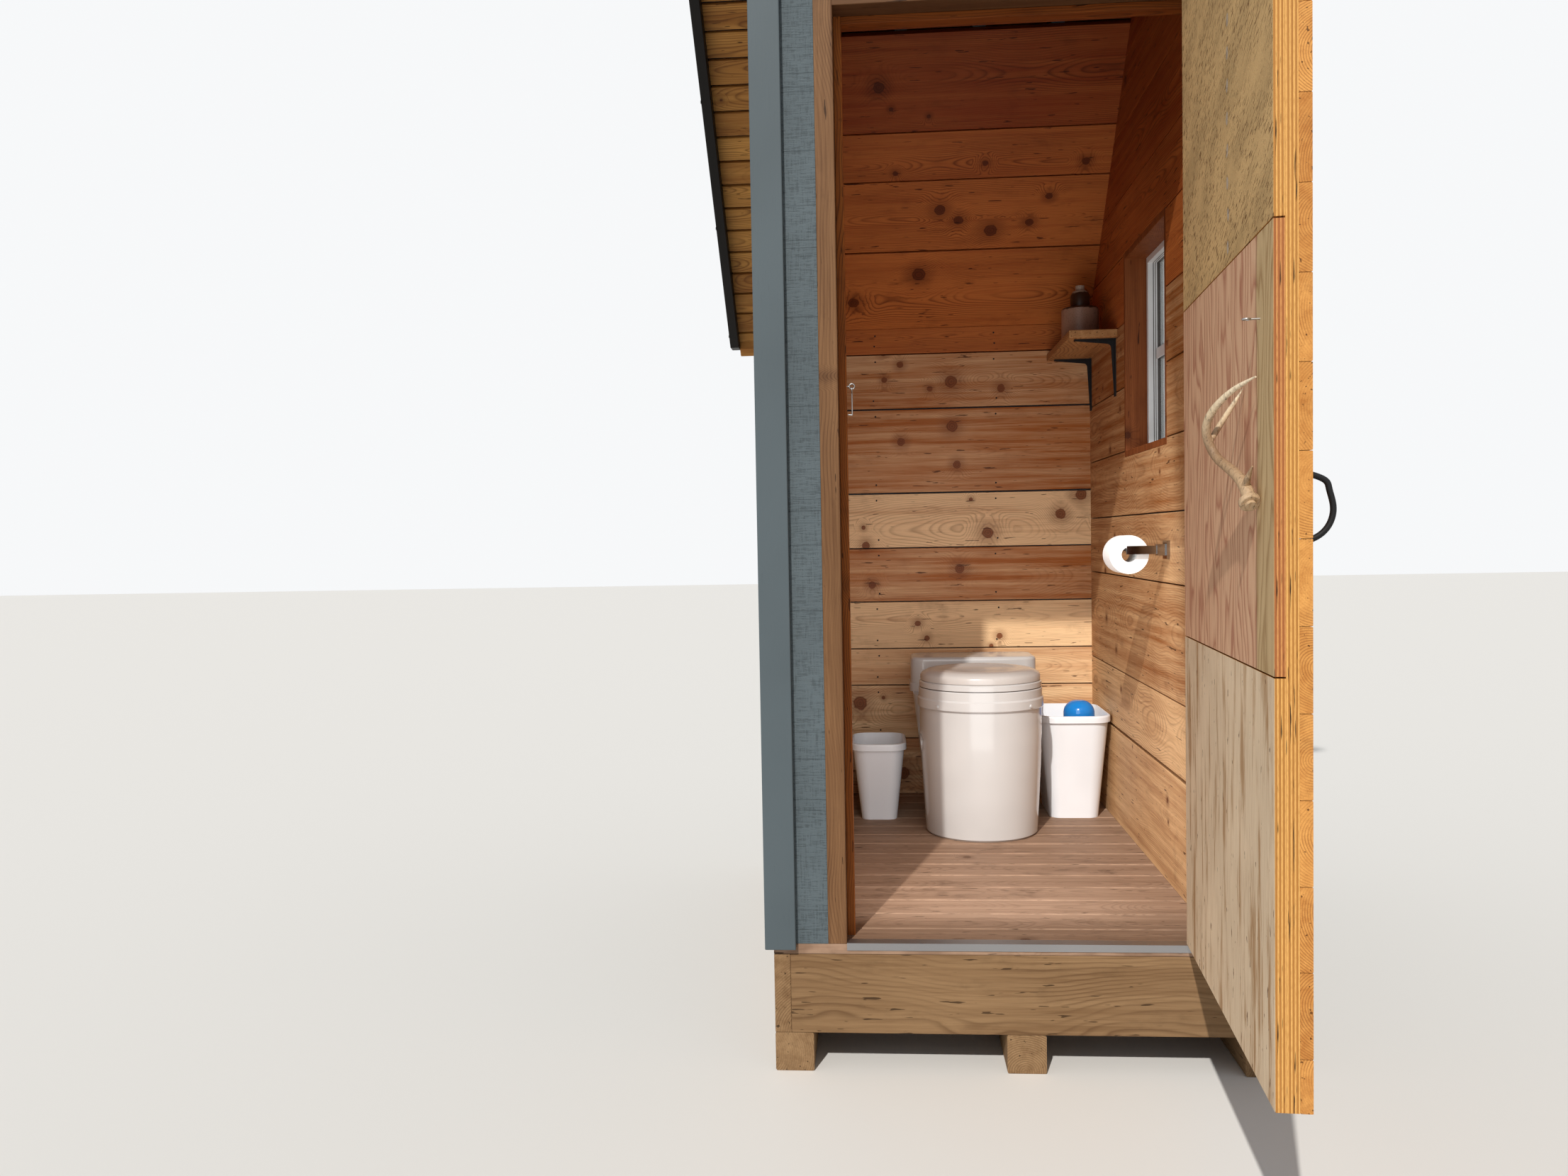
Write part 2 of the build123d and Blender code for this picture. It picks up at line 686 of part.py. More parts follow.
BIN_WALL = 3
BIN_TO_WALL = 7
BIN_TUCK = 5
BIN_LIP = 5
BIN_LIP_HEIGHT = 22
SMALL_BIN_WIDTH = 174
SMALL_BIN_DEPTH = 250
SMALL_BIN_HEIGHT = 255
SMALL_BIN_Y = 441
SMALL_BIN_FROM_WALL = 20
SMALL_BIN_TAPER = 58
LARGE_BIN_DEPTH = 320
LARGE_BIN_HEIGHT = 340
LARGE_BIN_Y = 492
LARGE_BIN_TAPER = 69
BOTTLE_R = 51
BOTTLE_HEIGHT = 378
BOTTLE_FROM_WALL = 101
BOTTLE_Y = 430


def bin_shell(x, y, width, depth, height, taper, corner):
    """An open tapered bin with rounded corners and a thick rolled rim."""
    wall = BIN_WALL
    foot = corner * 0.6
    low = RectangleRounded(width - taper, depth - taper, foot)
    high = Plane.XY.offset(height) * RectangleRounded(width, depth, corner)
    outer = loft([low, high])
    inner = RectangleRounded(width - taper - 2 * wall, depth - taper - 2 * wall, foot - wall)
    mouth = RectangleRounded(width - 2 * wall, depth - 2 * wall, corner - wall)
    hollow = loft([Plane.XY.offset(wall) * inner, Plane.XY.offset(height + 1) * mouth])
    rim_face = RectangleRounded(width + 2 * BIN_LIP, depth + 2 * BIN_LIP, corner + BIN_LIP)
    rim = extrude(Plane.XY.offset(height - BIN_LIP_HEIGHT) * rim_face, BIN_LIP_HEIGHT)
    rim = fillet(rim.faces().sort_by(Axis.Z)[-1].edges(), BIN_LIP + 1)
    return Pos(x, y, FLOOR) * (outer + rim - hollow)


def waste_bins():
    small_x = SMALL_BIN_FROM_WALL + SMALL_BIN_WIDTH / 2 - IN_X
    small = bin_shell(
        small_x, SMALL_BIN_Y, SMALL_BIN_WIDTH, SMALL_BIN_DEPTH, SMALL_BIN_HEIGHT, SMALL_BIN_TAPER, 48
    )
    left = BOWL_X + HOUSING_TOP / 2 - BIN_TUCK + BIN_LIP
    right = IN_X - BIN_TO_WALL - BIN_LIP
    large = bin_shell(
        (left + right) / 2, LARGE_BIN_Y, right - left, LARGE_BIN_DEPTH, LARGE_BIN_HEIGHT, LARGE_BIN_TAPER, 60
    )
    return Compound([small, large])


def blue_bottle():
    """A tall rounded bottle that stands in the large bin and shows over its rim."""
    spot = Pos(IN_X - BOTTLE_FROM_WALL, BOTTLE_Y, FLOOR + BIN_WALL + BOTTLE_HEIGHT / 2)
    body = spot * Cylinder(BOTTLE_R, BOTTLE_HEIGHT)
    body = fillet(body.edges().sort_by(Axis.Z)[-1], BOTTLE_R - 8)
    return fillet(body.edges().sort_by(Axis.Z)[0], 4)


def save(shape, name):
    export_step(shape, os.path.join("parts", name + ".step"))
    print(name)


def main():
    os.makedirs("parts", exist_ok=True)
    front_sides, over_door = front_walls()
    left_wall, right_wall = side_walls()
    boards, core, top, middle, bottom = door_layers()
    fixed = {
        "skids": skids(),
        "rim_boards": rim_boards(),
        "floor_joists": floor_joists(),
        "floor_boards": floor_boards(),
        "threshold_strip": threshold_strip(),
        "front_wall_sides": front_sides,
        "front_wall_over_door": over_door,
        "left_wall": left_wall,
        "right_wall": right_wall,
        "back_wall": back_wall(),
        "back_lining": back_lining(),
        "side_linings": side_linings(),
        "ceiling_lining": ceiling_lining(),
        "painted_trims": painted_trims(),
        "rafters": rafters(),
        "roof_deck": roof_deck(),
        "rake_fascias": rake_fascias(),
        "cross_fascias": cross_fascias(),
        "roof_sheet": roof_sheet(),
        "door_frame": door_frame(),
        "frame_hinges": hinge_set(False),
        "hook_eye": hook_eye(),
        "latch_hook": latch_hook(),
        "window_reveal": window_reveal(),
        "window_frame": window_frame(),
        "window_glass": window_glass(),
        "shelf": shelf(),
        "shelf_brackets": shelf_brackets(),
        "soap_jar": soap_jar(),
        "paper_holder": paper_holder(),
        "paper_roll": paper_roll(),
        "toilet_body": toilet_body(),
        "toilet_seat": toilet_seat(),
        "toilet_lid": toilet_lid(),
        "waste_bins": waste_bins(),
        "blue_bottle": blue_bottle(),
    }
    on_door = {
        "door_boards": boards,
        "door_core": core,
        "door_panel_top": top,
        "door_panel_middle": middle,
        "door_panel_bottom": bottom,
        "antler_handle": antler_handle(),
        "screw_eye": screw_eye(),
        "outer_pull": outer_pull(),
        "door_hinges": hinge_set(True),
    }
    for name, shape in fixed.items():
        save(shape, name)
    for name, shape in on_door.items():
        save(open_door(shape), name)


main()
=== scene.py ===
# %% [markdown]
# # A tall timber outhouse
# The building was constructed in a CAD program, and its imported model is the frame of
# this scene. Each wall, board, hinge and joint already has its size and place there.
# What is left is what the eye reads as wood, paint, iron and glaze: single boards with
# gaps, grain with knots, nail heads, soft edges and worn surfaces.

# %% Load the frame
import json
import math
import random

import bmesh
import bpy
from mathutils import Matrix, Vector

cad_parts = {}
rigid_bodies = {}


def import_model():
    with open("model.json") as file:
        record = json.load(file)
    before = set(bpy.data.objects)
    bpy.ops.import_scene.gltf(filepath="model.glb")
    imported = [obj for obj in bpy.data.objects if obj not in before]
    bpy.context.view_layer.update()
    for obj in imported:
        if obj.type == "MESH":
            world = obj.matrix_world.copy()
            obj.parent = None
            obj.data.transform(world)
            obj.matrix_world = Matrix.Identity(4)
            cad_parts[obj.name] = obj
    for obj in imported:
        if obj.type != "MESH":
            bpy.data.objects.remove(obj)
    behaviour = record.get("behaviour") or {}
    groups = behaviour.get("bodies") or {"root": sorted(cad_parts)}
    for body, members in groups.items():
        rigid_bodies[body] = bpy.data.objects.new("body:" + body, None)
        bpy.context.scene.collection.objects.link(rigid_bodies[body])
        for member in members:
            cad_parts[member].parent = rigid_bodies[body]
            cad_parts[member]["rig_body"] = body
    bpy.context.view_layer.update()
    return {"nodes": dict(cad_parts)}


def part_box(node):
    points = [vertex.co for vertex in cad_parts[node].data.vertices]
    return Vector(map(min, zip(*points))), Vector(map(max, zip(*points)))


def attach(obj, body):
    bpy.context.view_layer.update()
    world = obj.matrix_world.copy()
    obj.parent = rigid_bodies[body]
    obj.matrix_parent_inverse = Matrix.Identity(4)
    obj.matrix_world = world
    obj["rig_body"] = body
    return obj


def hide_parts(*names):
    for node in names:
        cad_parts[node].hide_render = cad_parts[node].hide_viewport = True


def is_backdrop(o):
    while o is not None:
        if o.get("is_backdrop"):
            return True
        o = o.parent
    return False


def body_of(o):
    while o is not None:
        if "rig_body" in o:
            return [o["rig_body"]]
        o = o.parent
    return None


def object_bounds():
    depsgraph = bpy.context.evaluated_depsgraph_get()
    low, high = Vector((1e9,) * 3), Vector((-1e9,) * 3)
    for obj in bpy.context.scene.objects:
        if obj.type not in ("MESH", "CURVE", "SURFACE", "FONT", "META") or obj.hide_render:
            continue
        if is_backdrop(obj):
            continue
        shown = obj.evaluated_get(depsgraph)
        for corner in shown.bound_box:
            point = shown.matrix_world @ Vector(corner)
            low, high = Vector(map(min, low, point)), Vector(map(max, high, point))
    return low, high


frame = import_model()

nodes = frame["nodes"]

# %% [markdown]
# ## The camera
# The camera is in front of the open door, a little left of the middle and just under a
# metre above the cabin's floor. One aimed at a target keeps a level horizon. Here it
# leans, so the camera's axes are worked out from a yaw, a pitch and a small roll.

# %% Make the camera
CAMERA_PLACE = Vector((-0.323, -3.702, 1.2315))
CAMERA_TURN = (-4.3825, -2.287, -1.044)
CAMERA_LENS = 28.25
yaw, pitch, roll = (math.radians(a) for a in CAMERA_TURN)

forward = Vector((math.sin(yaw) * math.cos(pitch), math.cos(yaw) * math.cos(pitch), math.sin(pitch)))
level_right = Vector((math.cos(yaw), -math.sin(yaw), 0))
level_up = level_right.cross(forward)
right = math.cos(roll) * level_right + math.sin(roll) * level_up
up = math.cos(roll) * level_up - math.sin(roll) * level_right
camera_axes = Matrix((right, up, -forward)).transposed().to_4x4()

camera_data = bpy.data.cameras.new("camera")
camera_data.lens = CAMERA_LENS
camera_data.sensor_width = 36
camera_data.clip_start = 0.05
camera = bpy.data.objects.new("camera", camera_data)
camera.matrix_world = Matrix.Translation(CAMERA_PLACE) @ camera_axes
bpy.context.scene.collection.objects.link(camera)
bpy.context.scene.camera = camera
print("camera looks along", [round(v, 3) for v in forward])

# %% [markdown]
# ## Light
# The daylight comes from high in front, slightly from the left. It throws the header's
# shadow across the right wall and leaves a bright patch low in the cabin. A sun lamp
# gives such parallel light, and a width of one degree keeps the antler's shadow clear. A
# sky picture could light the rest, but a pale world is simpler to set. A soft panel just
# inside the doorway helps it, because little of the world reaches into a deep cabin. The
# panel hangs behind the shut door, so it never lights the front.

# %% Light the scene
scene = bpy.context.scene
scene.view_settings.view_transform = "Standard"
SUN_PATH = (0.31, 1.11, -1.0)
SUN_WIDTH = math.radians(1.0)
PANEL_PLACE = (-0.05, -0.62, 1.02)
PANEL_PATH = (0.0, 1, -0.20)


def add_lamp(name, kind, place, direction, **values):
    lamp = bpy.data.lights.new(name, kind)
    for key, value in values.items():
        setattr(lamp, key, value)
    thing = bpy.data.objects.new(name, lamp)
    thing.location = place
    thing.rotation_mode = "QUATERNION"
    thing.rotation_quaternion = Vector(direction).to_track_quat("-Z", "Y")
    thing.visible_camera = False
    scene.collection.objects.link(thing)


add_lamp("daylight", "SUN", (0, -6, 6), SUN_PATH, energy=3.1, angle=SUN_WIDTH, color=(1.0, 0.96, 0.90))
add_lamp("doorway_panel", "AREA", PANEL_PLACE, PANEL_PATH,
         energy=6.2, shape="RECTANGLE", size=0.66, size_y=1.3)

# %% [markdown]
# The world has two colours. The camera, a mirror or a pane sees one that is nearly white,
# and all other rays get a weaker fill, so that the shadows keep their depth. A white
# backdrop would do for one view only. The Light Path node tells the rays apart for all.

# %% Give the world a pale fill that shows as white
world = bpy.data.worlds.new("pale_world")
world.use_nodes = True
scene.world = world
tree = world.node_tree
tree.nodes.clear()
join = tree.links.new


def background(colour, strength):
    node = tree.nodes.new("ShaderNodeBackground")
    node.inputs["Color"].default_value = colour
    node.inputs["Strength"].default_value = strength
    return node.outputs[0]


fill = background((0.92, 0.96, 1.0, 1), 0.40)
shown = background((0.93, 0.94, 0.95, 1), 1.0)
mix = tree.nodes.new("ShaderNodeMixShader")
out = tree.nodes.new("ShaderNodeOutputWorld")
path = tree.nodes.new("ShaderNodeLightPath")
seen = path.outputs["Is Camera Ray"]
for ray in ("Is Glossy Ray", "Is Transmission Ray"):
    either = tree.nodes.new("ShaderNodeMath")
    either.operation = "MAXIMUM"
    join(seen, either.inputs[0])
    join(path.outputs[ray], either.inputs[1])
    seen = either.outputs[0]
join(seen, mix.inputs["Fac"])
join(fill, mix.inputs[1])
join(shown, mix.inputs[2])
join(mix.outputs[0], out.inputs["Surface"])
print("world nodes:", len(tree.nodes))

# %% [markdown]
# ## Node helpers
# A material here is a small tree of nodes. A script that says each node and link soon
# hides the idea. Short helpers keep a recipe readable: one adds a node with its settings,
# another lays one colour over another where a mask is white.

# %% Helpers for material trees
class Recipe:
    """A material with a Principled shader and short ways to add nodes to it."""

    def __init__(self, name):
        self.material = bpy.data.materials.new(name)
        self.material.use_nodes = True
        self.tree = self.material.node_tree
        self.shader = self.tree.nodes["Principled BSDF"]

    def add(self, kind, settings=None, **inputs):
        """Inputs go by name, or as i0, i1 and so on where a node repeats a name."""
        node = self.tree.nodes.new("ShaderNode" + kind)
        for key, value in (settings or {}).items():
            setattr(node, key, value)
        for key, value in inputs.items():
            numbered = key[0] == "i" and key[1:].isdigit()
            self.put(node.inputs[int(key[1:]) if numbered else key], value)
        return node

    def put(self, socket, value):
        if isinstance(value, bpy.types.NodeSocket):
            self.tree.links.new(value, socket)
        else:
            socket.default_value = value

    def object_place(self):
        return self.add("TexCoord").outputs["Object"]

    def grain_place(self):
        """Where a point lies along, across and through its board."""
        return self.add("Attribute", {"attribute_name": "grain"}).outputs["Vector"]

    def split(self, vector):
        return self.add("SeparateXYZ", Vector=vector).outputs

    def math(self, operation, a, b=0.0, clamp=False):
        return self.add("Math", {"operation": operation, "use_clamp": clamp}, i0=a, i1=b).outputs[0]

    def plus(self, a, b, clamp=False):
        return self.math("ADD", a, b, clamp)

    def minus(self, a, b):
        return self.math("SUBTRACT", a, b)

    def times(self, a, b):
        return self.math("MULTIPLY", a, b)

    def divided(self, a, b):
        return self.math("DIVIDE", a, b)

    def scaled(self, vector, factors):
        return self.add("VectorMath", {"operation": "MULTIPLY"}, i0=vector, i1=factors).outputs[0]

    def noise(self, vector, scale, detail=3, rough=0.5):
        return self.add("TexNoise", Vector=vector, Scale=scale, Detail=detail, Roughness=rough).outputs[0]

    def stretched(self, vector, factors, detail=3, rough=0.5):
        """Noise with a scale of its own on each axis. A large one makes narrow marks."""
        return self.noise(self.scaled(vector, factors), 1.0, detail, rough)

    def sway(self, vector, factors, amount):
        """A slow noise round zero, amount wide in both directions."""
        return self.times(self.minus(self.stretched(vector, factors, 2), 0.5), amount * 2)

    def ramp(self, value, stops):
        node = self.add("ValToRGB", Fac=value)
        points = node.color_ramp.elements
        while len(points) < len(stops):
            points.new(0.5)
        for point, (place, colour) in zip(points, stops):
            point.position = place
            point.color = (*colour, 1) if isinstance(colour, tuple) else (*[colour] * 3, 1)
        return node.outputs["Color"]

    def step(self, value, low, high):
        """0 below low and 1 above high, or the other way round if high is less."""
        smooth = {"interpolation_type": "SMOOTHSTEP"}
        return self.add("MapRange", smooth, Value=value, i1=low, i2=high).outputs[0]

    def blend(self, factor, a, b):
        """Colour a where the factor is 0 and colour b where it is 1."""
        node = self.add("Mix", {"data_type": "RGBA"}, i0=factor)
        for number, colour in ((6, a), (7, b)):
            self.put(node.inputs[number], (*colour, 1) if isinstance(colour, tuple) else colour)
        return node.outputs[2]

    def cover(self, colour, mask, share, top):
        """Lays top over the colour where the mask is 1, and share says how densely."""
        return self.blend(self.times(mask, share), colour, top)

    def bump(self, height, distance):
        """distance is the depth in metres that a height of 1 stands for."""
        node = self.add("Bump", Height=height, Distance=distance)
        self.put(self.shader.inputs["Normal"], node.outputs[0])

    def finish(self, colour, rough, shine=0.5, **sockets):
        """shine is how strongly the surface mirrors, whatever its roughness."""
        sockets.update(Base_Color=colour, Roughness=rough, Specular_IOR_Level=shine)
        for key, value in sockets.items():
            self.put(self.shader.inputs[key.replace("_", " ")], value)
        return self.material


def shade(colour, factor):
    return tuple(c * factor for c in colour)


DULL = 0.15


# %% Sizes read from the frame
CREASE_OVER_SHELF = 0.111
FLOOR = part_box("floor_boards")[1].z
lining_low, lining_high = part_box("back_lining")
IN_Y = lining_low.y
BACK_Y = lining_high.y
IN_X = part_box("window_reveal")[0].x
FRAME_X = lining_high.x
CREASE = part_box("shelf")[1].z + CREASE_OVER_SHELF
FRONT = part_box("front_wall_over_door")[0].y
print("floor", round(FLOOR, 3), "inside", round(IN_X, 3), round(IN_Y, 3), "crease", round(CREASE, 3))

# %% [markdown]
# ## Wood
# A board is a slice of a log. Its face shows the log's year rings cut at a slant. A photo
# of wood could be laid on it, but it would repeat from board to board and blur from near.
# So the recipe makes rings round a line that wanders behind the board and lets the
# board's own face cut them. Where that line comes near, the rings open into arches.
# Every board carries three numbers for this in an attribute called grain: the distance
# along the board, across it and through it. A second attribute called tone says how dark
# the stain went on that board. Most knots are scattered by a cell pattern, and those that
# are easy to recognise have places of their own.

# %% Knots with places of their own, as (x, height, radius) and (x, y, radius)
BACK_KNOTS = [
    (0.228, 1.614, 0.012), (-0.050, 1.326, 0.024), (-0.233, 1.275, 0.017), (-0.035, 1.189, 0.017),
    (0.403, 1.073, 0.024), (0.330, 1.005, 0.022), (0.072, 0.942, 0.024), (-0.365, 0.904, 0.017),
    (-0.128, 1.462, 0.012), (-0.052, 1.485, 0.026), (0.125, 1.457, 0.017), (-0.290, 1.498, 0.012),
    (-0.373, 0.969, 0.009), (-0.233, 1.551, 0.014), (-0.030, 0.815, 0.020), (-0.345, 0.760, 0.016),
    (-0.150, 0.565, 0.012), (0.110, 0.570, 0.013), (0.080, 0.535, 0.009), (-0.395, 0.330, 0.030),
    (-0.310, 0.350, 0.008), (-0.240, 0.075, 0.026),
]
CEILING_KNOTS = [
    (-0.298, 0.139, 0.021), (-0.248, 0.342, 0.010), (-0.101, 0.439, 0.022), (-0.039, 0.467, 0.019),
    (0.069, 0.497, 0.026), (0.357, 0.330, 0.015), (-0.167, 0.611, 0.028), (0.252, 0.413, 0.014),
    (0.039, 0.326, 0.011), (-0.144, 0.209, 0.008), (0.195, 0.479, 0.016), (-0.261, 0.189, 0.008),
    (-0.395, 0.687, 0.023),
]
back_knot_places = [(x, IN_Y, z + FLOOR, r) for x, z, r in BACK_KNOTS]
ceiling_knot_places = [(x, y, CREASE + IN_Y - y, r) for x, y, r in CEILING_KNOTS]
print("marked knots:", len(BACK_KNOTS) + len(CEILING_KNOTS))

# %% How far a point is from the nearest knot
KNOT_CELLS = 6.5
LARGEST_KNOT = 0.085


def scattered_knots(w, place, share):
    """Distance to the nearest scattered knot, where 1 is its rim."""
    flat = w.scaled(place, (1, 1.15, 0))
    cells = w.add("TexVoronoi", {"voronoi_dimensions": "2D"}, Vector=flat, Scale=KNOT_CELLS)
    chance = w.add("SeparateColor", Color=cells.outputs["Color"]).outputs[0]
    size = w.plus(w.times(w.step(chance, 1.0 - share, 1.0), LARGEST_KNOT), 0.0001)
    return w.divided(cells.outputs["Distance"], size)


def distance_to(w, place, radius):
    """Distance to one knot, where 1 is its rim, with the rim made uneven."""
    spot = w.object_place()
    away = w.add("VectorMath", {"operation": "DISTANCE"}, i0=spot, i1=place).outputs["Value"]
    uneven = w.times(w.minus(w.noise(spot, 60, 2), 0.5), 0.5)
    return w.plus(w.divided(away, radius * 0.85), uneven)


# %% Year rings and worn edges
KNOT_PUSH = 0.032


def year_rings(w, place, reach, halo, ring):
    """1 in the dark line of each ring, 0 in the pale wood. Knots push the rings aside."""
    across, through = w.split(place)[1:3]
    side = w.plus(across, w.sway(place, (1.6, 5, 5), 0.028))
    side = w.plus(side, w.sway(place, (7, 30, 30), 0.002))
    depth = w.plus(through, w.sway(place, (1.4, 0.5, 0.5), 0.09))
    radius = w.math("SQRT", w.plus(w.times(side, side), w.times(depth, depth)))
    radius = w.plus(radius, w.times(w.step(reach, 5.0, 0.4), KNOT_PUSH))
    phase = w.math("FRACT", w.divided(radius, ring))
    rings = w.ramp(phase, [(0.0, 0.2), (0.15, 0.0), (0.55, 0.1), (0.88, 1.0), (1.0, 0.2)])
    fade = w.step(w.stretched(place, (2, 9, 9), 2), 0.36, 0.62)
    fade = w.plus(w.times(w.math("MAXIMUM", fade, halo), 0.75), 0.25)
    return w.times(rings, fade)


def worn_edges(w, colour, light, start, pitch):
    """Lightens the board's edges, which lie at start plus whole pitches along Y."""
    place = w.object_place()
    turn = w.math("FRACT", w.divided(w.minus(w.split(place)[1], start), pitch))
    edge = w.math("ABSOLUTE", w.minus(turn, 0.5))
    patchy = w.step(w.noise(place, 9, 4, 0.6), 0.3, 0.6)
    return w.cover(colour, w.step(edge, 0.38, 0.5), w.times(patchy, 0.7), light)


# %% The wood recipe
def wood(name, pale, deep, line, ring=0.005, lines=0.7, knots=0.4, places=(), rough=0.55,
         relief=0.0004, grime=0.3, saw=0.0, worn=None):
    """pale and deep are the stain's ends, line is the colour of the dark rings and knots,
    ring is the distance between two rings and knots is the share of cells with a knot."""
    w = Recipe(name)
    place = w.grain_place()
    tone = w.add("Attribute", {"attribute_name": "tone"}).outputs["Fac"]
    reach = scattered_knots(w, place, knots)
    for x, y, z, r in places:
        reach = w.math("MINIMUM", reach, distance_to(w, (x, y, z), r))
    knot = w.step(reach, 1.1, 0.85)
    halo = w.step(reach, 3.4, 0.8)
    rings = year_rings(w, place, reach, halo, ring)
    fibre = w.stretched(place, (9, 420, 420), 3, 0.6)

    streak = w.stretched(place, (1.3, 42, 42), 6, 0.7)
    stain = w.plus(tone, w.times(w.minus(streak, 0.5), 2.1))
    stain = w.plus(stain, w.times(w.minus(w.noise(place, 3.2), 0.5), 0.5), clamp=True)
    colour = w.blend(stain, pale, deep)
    if worn:
        colour = worn_edges(w, colour, shade(pale, 1.2), *worn)
    colour = w.cover(colour, rings, lines, line)
    colour = w.cover(colour, halo, 0.4, line)
    core = w.math("FRACT", w.times(reach, 2.6))
    colour = w.cover(colour, knot, 0.9, w.blend(core, shade(line, 0.6), shade(line, 1.5)))
    colour = w.cover(colour, w.step(fibre, 0.45, 0.75), 0.25, line)
    checks = w.step(w.stretched(place, (14, 120, 120), 2), 0.685, 0.71)
    colour = w.cover(colour, checks, 0.8, shade(line, 0.3))
    dirt = w.step(w.noise(w.scaled(place, (3, 6, 6)), 3.0, 5, 0.65), 0.52, 0.8)
    colour = w.cover(colour, dirt, grime, shade(line, 0.6))

    height = w.minus(w.times(fibre, 0.35), w.times(rings, 0.25))
    height = w.minus(height, w.times(knot, 0.3))
    if saw:
        height = w.plus(height, w.times(w.stretched(place, (230, 16, 16), 3, 0.6), saw))
    w.bump(height, relief)
    gloss = w.plus(rough, w.times(w.minus(fibre, 0.5), 0.25), clamp=True)
    return w.finish(colour, gloss, DULL)


# %% [markdown]
# ## Stains
# One oil stain takes differently on each kind of board. The back wall is pale honey with
# red-brown knots, the ceiling is red, the rough side walls are tan, and the floor is
# walked bare and grey. The ceiling's red is made deeper and darker than the stain, as
# painted shade under the roof. All come from the one recipe with other colours, so that a
# change to the grain reaches every board.

# %% Mix the stains
DECK_PITCH = 0.116
floor_low, floor_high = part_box("floor_boards")
back_wood = wood("honey_pine", (0.88, 0.61, 0.35), (0.40, 0.125, 0.026), (0.17, 0.045, 0.012),
                 knots=0.05, places=back_knot_places, rough=0.46, lines=0.42)
side_wood = wood("rough_tan_pine", (0.75, 0.48, 0.25), (0.30, 0.10, 0.022), (0.14, 0.042, 0.012),
                 knots=0.3, rough=0.62, relief=0.0008, saw=0.8, lines=0.45)
# The ceiling's red stain is made deeper and darker as painted shade under the roof.
red_wood_with_painted_shade = wood("red_pine", (0.53, 0.165, 0.040), (0.30, 0.057, 0.012), (0.09, 0.017, 0.004),
                    knots=0.1, places=ceiling_knot_places, rough=0.5)
floor_wood = wood("bare_floor_pine", (0.35, 0.23, 0.158), (0.20, 0.118, 0.074), (0.10, 0.05, 0.028),
                  ring=0.004, lines=0.35, knots=0.12, rough=0.62, grime=0.55, worn=(floor_low.y, DECK_PITCH))
soffit_wood = wood("soffit_pine", (0.66, 0.32, 0.08), (0.34, 0.125, 0.026), (0.12, 0.036, 0.009),
                   knots=0.22, rough=0.45)
jamb_wood = wood("jamb_pine", (0.25, 0.133, 0.062), (0.11, 0.049, 0.021), (0.055, 0.02, 0.009), knots=0.2)
stop_wood = wood("stop_pine", (0.40, 0.125, 0.024), (0.22, 0.055, 0.009), (0.06, 0.016, 0.005), knots=0.2)
reveal_wood = wood("reveal_pine", (0.32, 0.10, 0.03), (0.17, 0.045, 0.012), (0.07, 0.018, 0.006), knots=0.25)
shelf_wood = wood("shelf_pine", (0.52, 0.28, 0.115), (0.30, 0.12, 0.04), (0.12, 0.04, 0.013), knots=0.2)
raw_wood = wood("sawn_timber", (0.36, 0.23, 0.12), (0.20, 0.115, 0.055), (0.10, 0.05, 0.022),
                knots=0.25, rough=0.75, saw=0.4)
door_wood = wood("orange_board_pine", (0.74, 0.36, 0.10), (0.46, 0.18, 0.04), (0.20, 0.065, 0.016),
                 ring=0.004, knots=0.25)
print("stains:", len(bpy.data.materials))

# %% [markdown]
# ## Making boards
# Lines drawn on one large box would look like boards from far away, but light and shadow
# fall only into real gaps. So every board is a cube from bmesh, stretched to its size.
# Slanted ends come from cutting the cube with a plane, as a saw would. The long edges get
# a small bevel, so that light catches them. All boards of one wall are joined in one
# mesh, and the grain and tone attributes are filled in board by board.

# %% Saw, bevel and finish a mesh
SAME_PLACE = 1e-6


def saw_off(made, point, normal):
    """Cuts away what lies past the plane and returns the edges round the cut."""
    parts = made.verts[:] + made.edges[:] + made.faces[:]
    cut = bmesh.ops.bisect_plane(made, geom=parts, dist=SAME_PLACE, plane_co=point, plane_no=normal,
                                 clear_outer=True)
    return [e for e in cut["geom_cut"] if isinstance(e, bmesh.types.BMEdge)]


def round_edges(made, edges, width, clamp=False):
    bmesh.ops.bevel(made, geom=edges, offset=width, affect="EDGES", segments=2, profile=0.5,
                    material=-1, clamp_overlap=clamp)


def to_mesh(name, made, *materials):
    """Turns a finished bmesh into a mesh with its materials."""
    mesh = bpy.data.meshes.new(name)
    made.to_mesh(mesh)
    made.free()
    for material in materials:
        mesh.materials.append(material)
    return mesh


def note_grain(mesh, places, tones):
    """Writes the two attributes that the wood recipe reads."""
    grain = mesh.attributes.new("grain", "FLOAT_VECTOR", "POINT")
    grain.data.foreach_set("vector", [v for place in places for v in place])
    tone = mesh.attributes.new("tone", "FLOAT", "POINT")
    tone.data.foreach_set("value", tones)


def settle(name, mesh, body, replaced=()):
    """Puts a finished mesh in the scene on its body."""
    thing = bpy.data.objects.new(name, mesh)
    scene.collection.objects.link(thing)
    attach(thing, body)
    if replaced:
        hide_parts(*replaced)
    print(name, len(mesh.polygons), "faces")
    return thing


# %% Board helpers
rng = random.Random(11)
AXES = {"X": (0, 1, 2), "Y": (1, 0, 2), "Z": (2, 0, 1)}
NEARLY_PARALLEL = 0.9


def grain_shift():
    """Where in its log a board was cut, so that no two boards look alike."""
    return rng.uniform(0, 40), rng.uniform(-0.03, 0.03), rng.uniform(0.02, 0.1)


